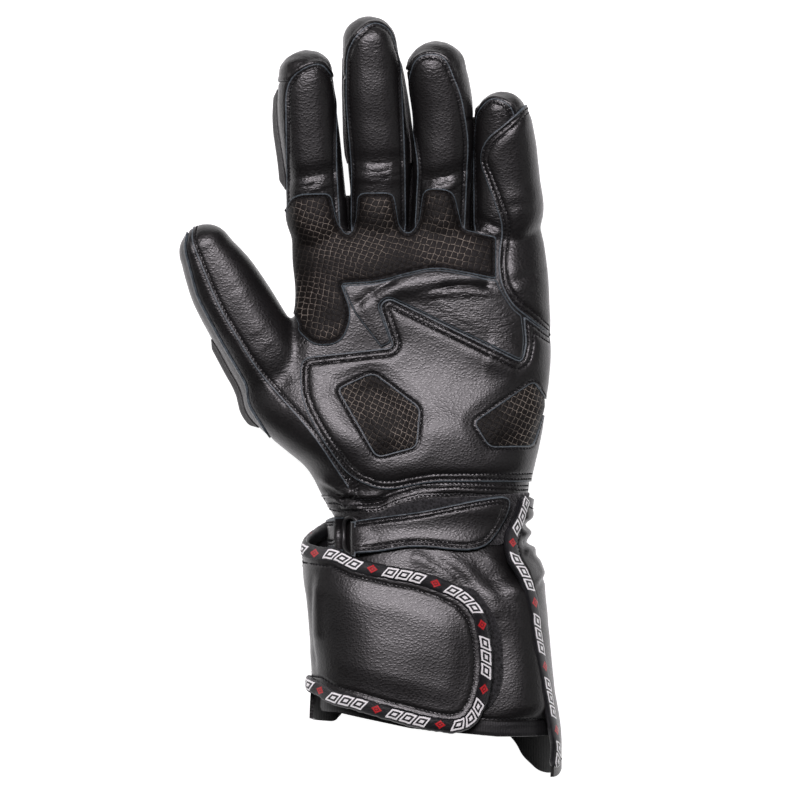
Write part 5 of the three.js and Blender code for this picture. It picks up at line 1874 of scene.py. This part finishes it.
class GLOVE_OT_stitching(bpy.types.Operator):
    """Sew every row of stitches"""

    bl_idname = "glove.stitching"
    bl_label = "Stitching"

    def execute(self, context):
        settings = context.scene.glove
        sizes = [settings.stitch_pitch / MM, settings.stitch_length / MM, settings.thread_radius / MM]
        for name, lines in stitch_lines.items():
            points, faces = stitches_along(lines, *sizes)
            mesh = new_mesh(name, points * MM, faces)
            mesh.polygons.foreach_set("use_smooth", np.ones(len(faces), bool))
            mesh.materials.append(materials["thread"])
            thing = bpy.data.objects.new(name, mesh)
            context.scene.collection.objects.link(thing)
            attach(thing, "root")
        return {"FINISHED"}


# The photograph's frame: its width in metres and its middle on the floor
VIEW_WIDTH = 0.336
VIEW_MIDDLE = (0.01134, -0.00168)
# Heights of the camera and of the glove's middle in metres, and the sensor's width in millimetres
CAMERA_HEIGHT = 3.0
MIDDLE_HEIGHT = 0.03
SENSOR = 36

# How strongly the floor and the sky glow
FLOOR_GLOW = 1.0
SKY_GLOW = 0.04
# Name, place, target, size, power and colour of each soft light
LIGHTS = [
    ("key", (-0.1, 0.6, 1.3), (0.01, 0.0, 0.0), (0.9, 0.36), 22, (1, 0.93, 0.985)),
    ("fill", (0.0, 0.2, 1.4), (0.01, 0.0, 0.0), (0.9, 0.4), 0.4),
    ("left", (-1.1, 0.15, 0.75), (0.0, 0.0, 0.0), (0.3, 1.0), 0.45),
    ("right", (1.1, 0.0, 0.75), (0.0, 0.0, 0.0), (0.3, 1.0), 0.5),
]


def area_light(name, place, target, size, power, colour=(1, 1, 1)):
    light = bpy.data.lights.new(name, "AREA")
    light.shape = "RECTANGLE"
    light.size, light.size_y = size
    light.energy = power
    light.color = colour
    thing = bpy.data.objects.new(name, light)
    bpy.context.scene.collection.objects.link(thing)
    thing.location = place
    thing.rotation_euler = (Vector(target) - Vector(place)).to_track_quat("-Z", "Y").to_euler()


class GLOVE_OT_stage(bpy.types.Operator):
    """Add the pale floor, the soft lights and the camera"""

    bl_idname = "glove.stage"
    bl_label = "Stage"

    def execute(self, context):
        bpy.ops.object.select_all(action="DESELECT")
        bpy.ops.mesh.primitive_plane_add(size=6, location=(0, 0, 0))
        floor = context.object
        floor.name = "floor"
        material, tree, shader, place = new_material("Pale floor")
        noise = wired(tree, "ShaderNodeTexNoise", Vector=place, Scale=3.0, Detail=2.0)
        colour = mixed_colour(tree, noise.outputs[0], (0.5, 0.5, 0.503, 1), (0.52, 0.52, 0.52, 1))
        tree.links.new(colour, shader.inputs["Base Color"])
        shader.inputs["Roughness"].default_value = 0.9
        shader.inputs["Specular IOR Level"].default_value = 0.1
        shader.inputs["Emission Color"].default_value = (1, 1, 1, 1)
        shader.inputs["Emission Strength"].default_value = FLOOR_GLOW
        floor.data.materials.append(material)
        world = bpy.data.worlds.new("Studio") if not context.scene.world else context.scene.world
        context.scene.world = world
        world.use_nodes = True
        background = next(node for node in world.node_tree.nodes if node.type == "BACKGROUND")
        background.inputs[0].default_value = (1, 1, 1, 1)
        background.inputs[1].default_value = SKY_GLOW
        for light in LIGHTS:
            area_light(*light)
        camera = bpy.data.objects.new("camera", bpy.data.cameras.new("camera"))
        context.scene.collection.objects.link(camera)
        camera.location = (VIEW_MIDDLE[0], VIEW_MIDDLE[1], CAMERA_HEIGHT)
        camera.data.sensor_width = SENSOR
        camera.data.lens = SENSOR * (CAMERA_HEIGHT - MIDDLE_HEIGHT) / VIEW_WIDTH
        camera.data.clip_end = 20
        context.scene.camera = camera
        context.scene.view_settings.view_transform = "Standard"
        return {"FINISHED"}


BUILD_ORDER = [
    GLOVE_OT_materials, GLOVE_OT_skins, GLOVE_OT_fingers, GLOVE_OT_thumb, GLOVE_OT_hand,
    GLOVE_OT_palm_panels, GLOVE_OT_guards, GLOVE_OT_wrist, GLOVE_OT_cuff, GLOVE_OT_stitching, GLOVE_OT_stage,
]


class GLOVE_PT_panel(bpy.types.Panel):
    """The glove's steps in the sidebar"""

    bl_label = "Motorcycle glove"
    bl_idname = "GLOVE_PT_panel"
    bl_space_type = "VIEW_3D"
    bl_region_type = "UI"
    bl_category = "Glove"

    def draw(self, context):
        settings = context.scene.glove
        for name in GloveSettings.__annotations__:
            self.layout.prop(settings, name)
        for step in BUILD_ORDER:
            self.layout.operator(step.bl_idname)


CLASSES = [GloveSettings, *BUILD_ORDER, GLOVE_PT_panel]


def register():
    for each in CLASSES:
        bpy.utils.register_class(each)
    bpy.types.Scene.glove = bpy.props.PointerProperty(type=GloveSettings)


def unregister():
    del bpy.types.Scene.glove
    for each in reversed(CLASSES):
        bpy.utils.unregister_class(each)


def main():
    register()
    for step in BUILD_ORDER:
        name = step.bl_idname.split(".")[1]
        getattr(bpy.ops.glove, name)()


if __name__ == "__main__":
    main()
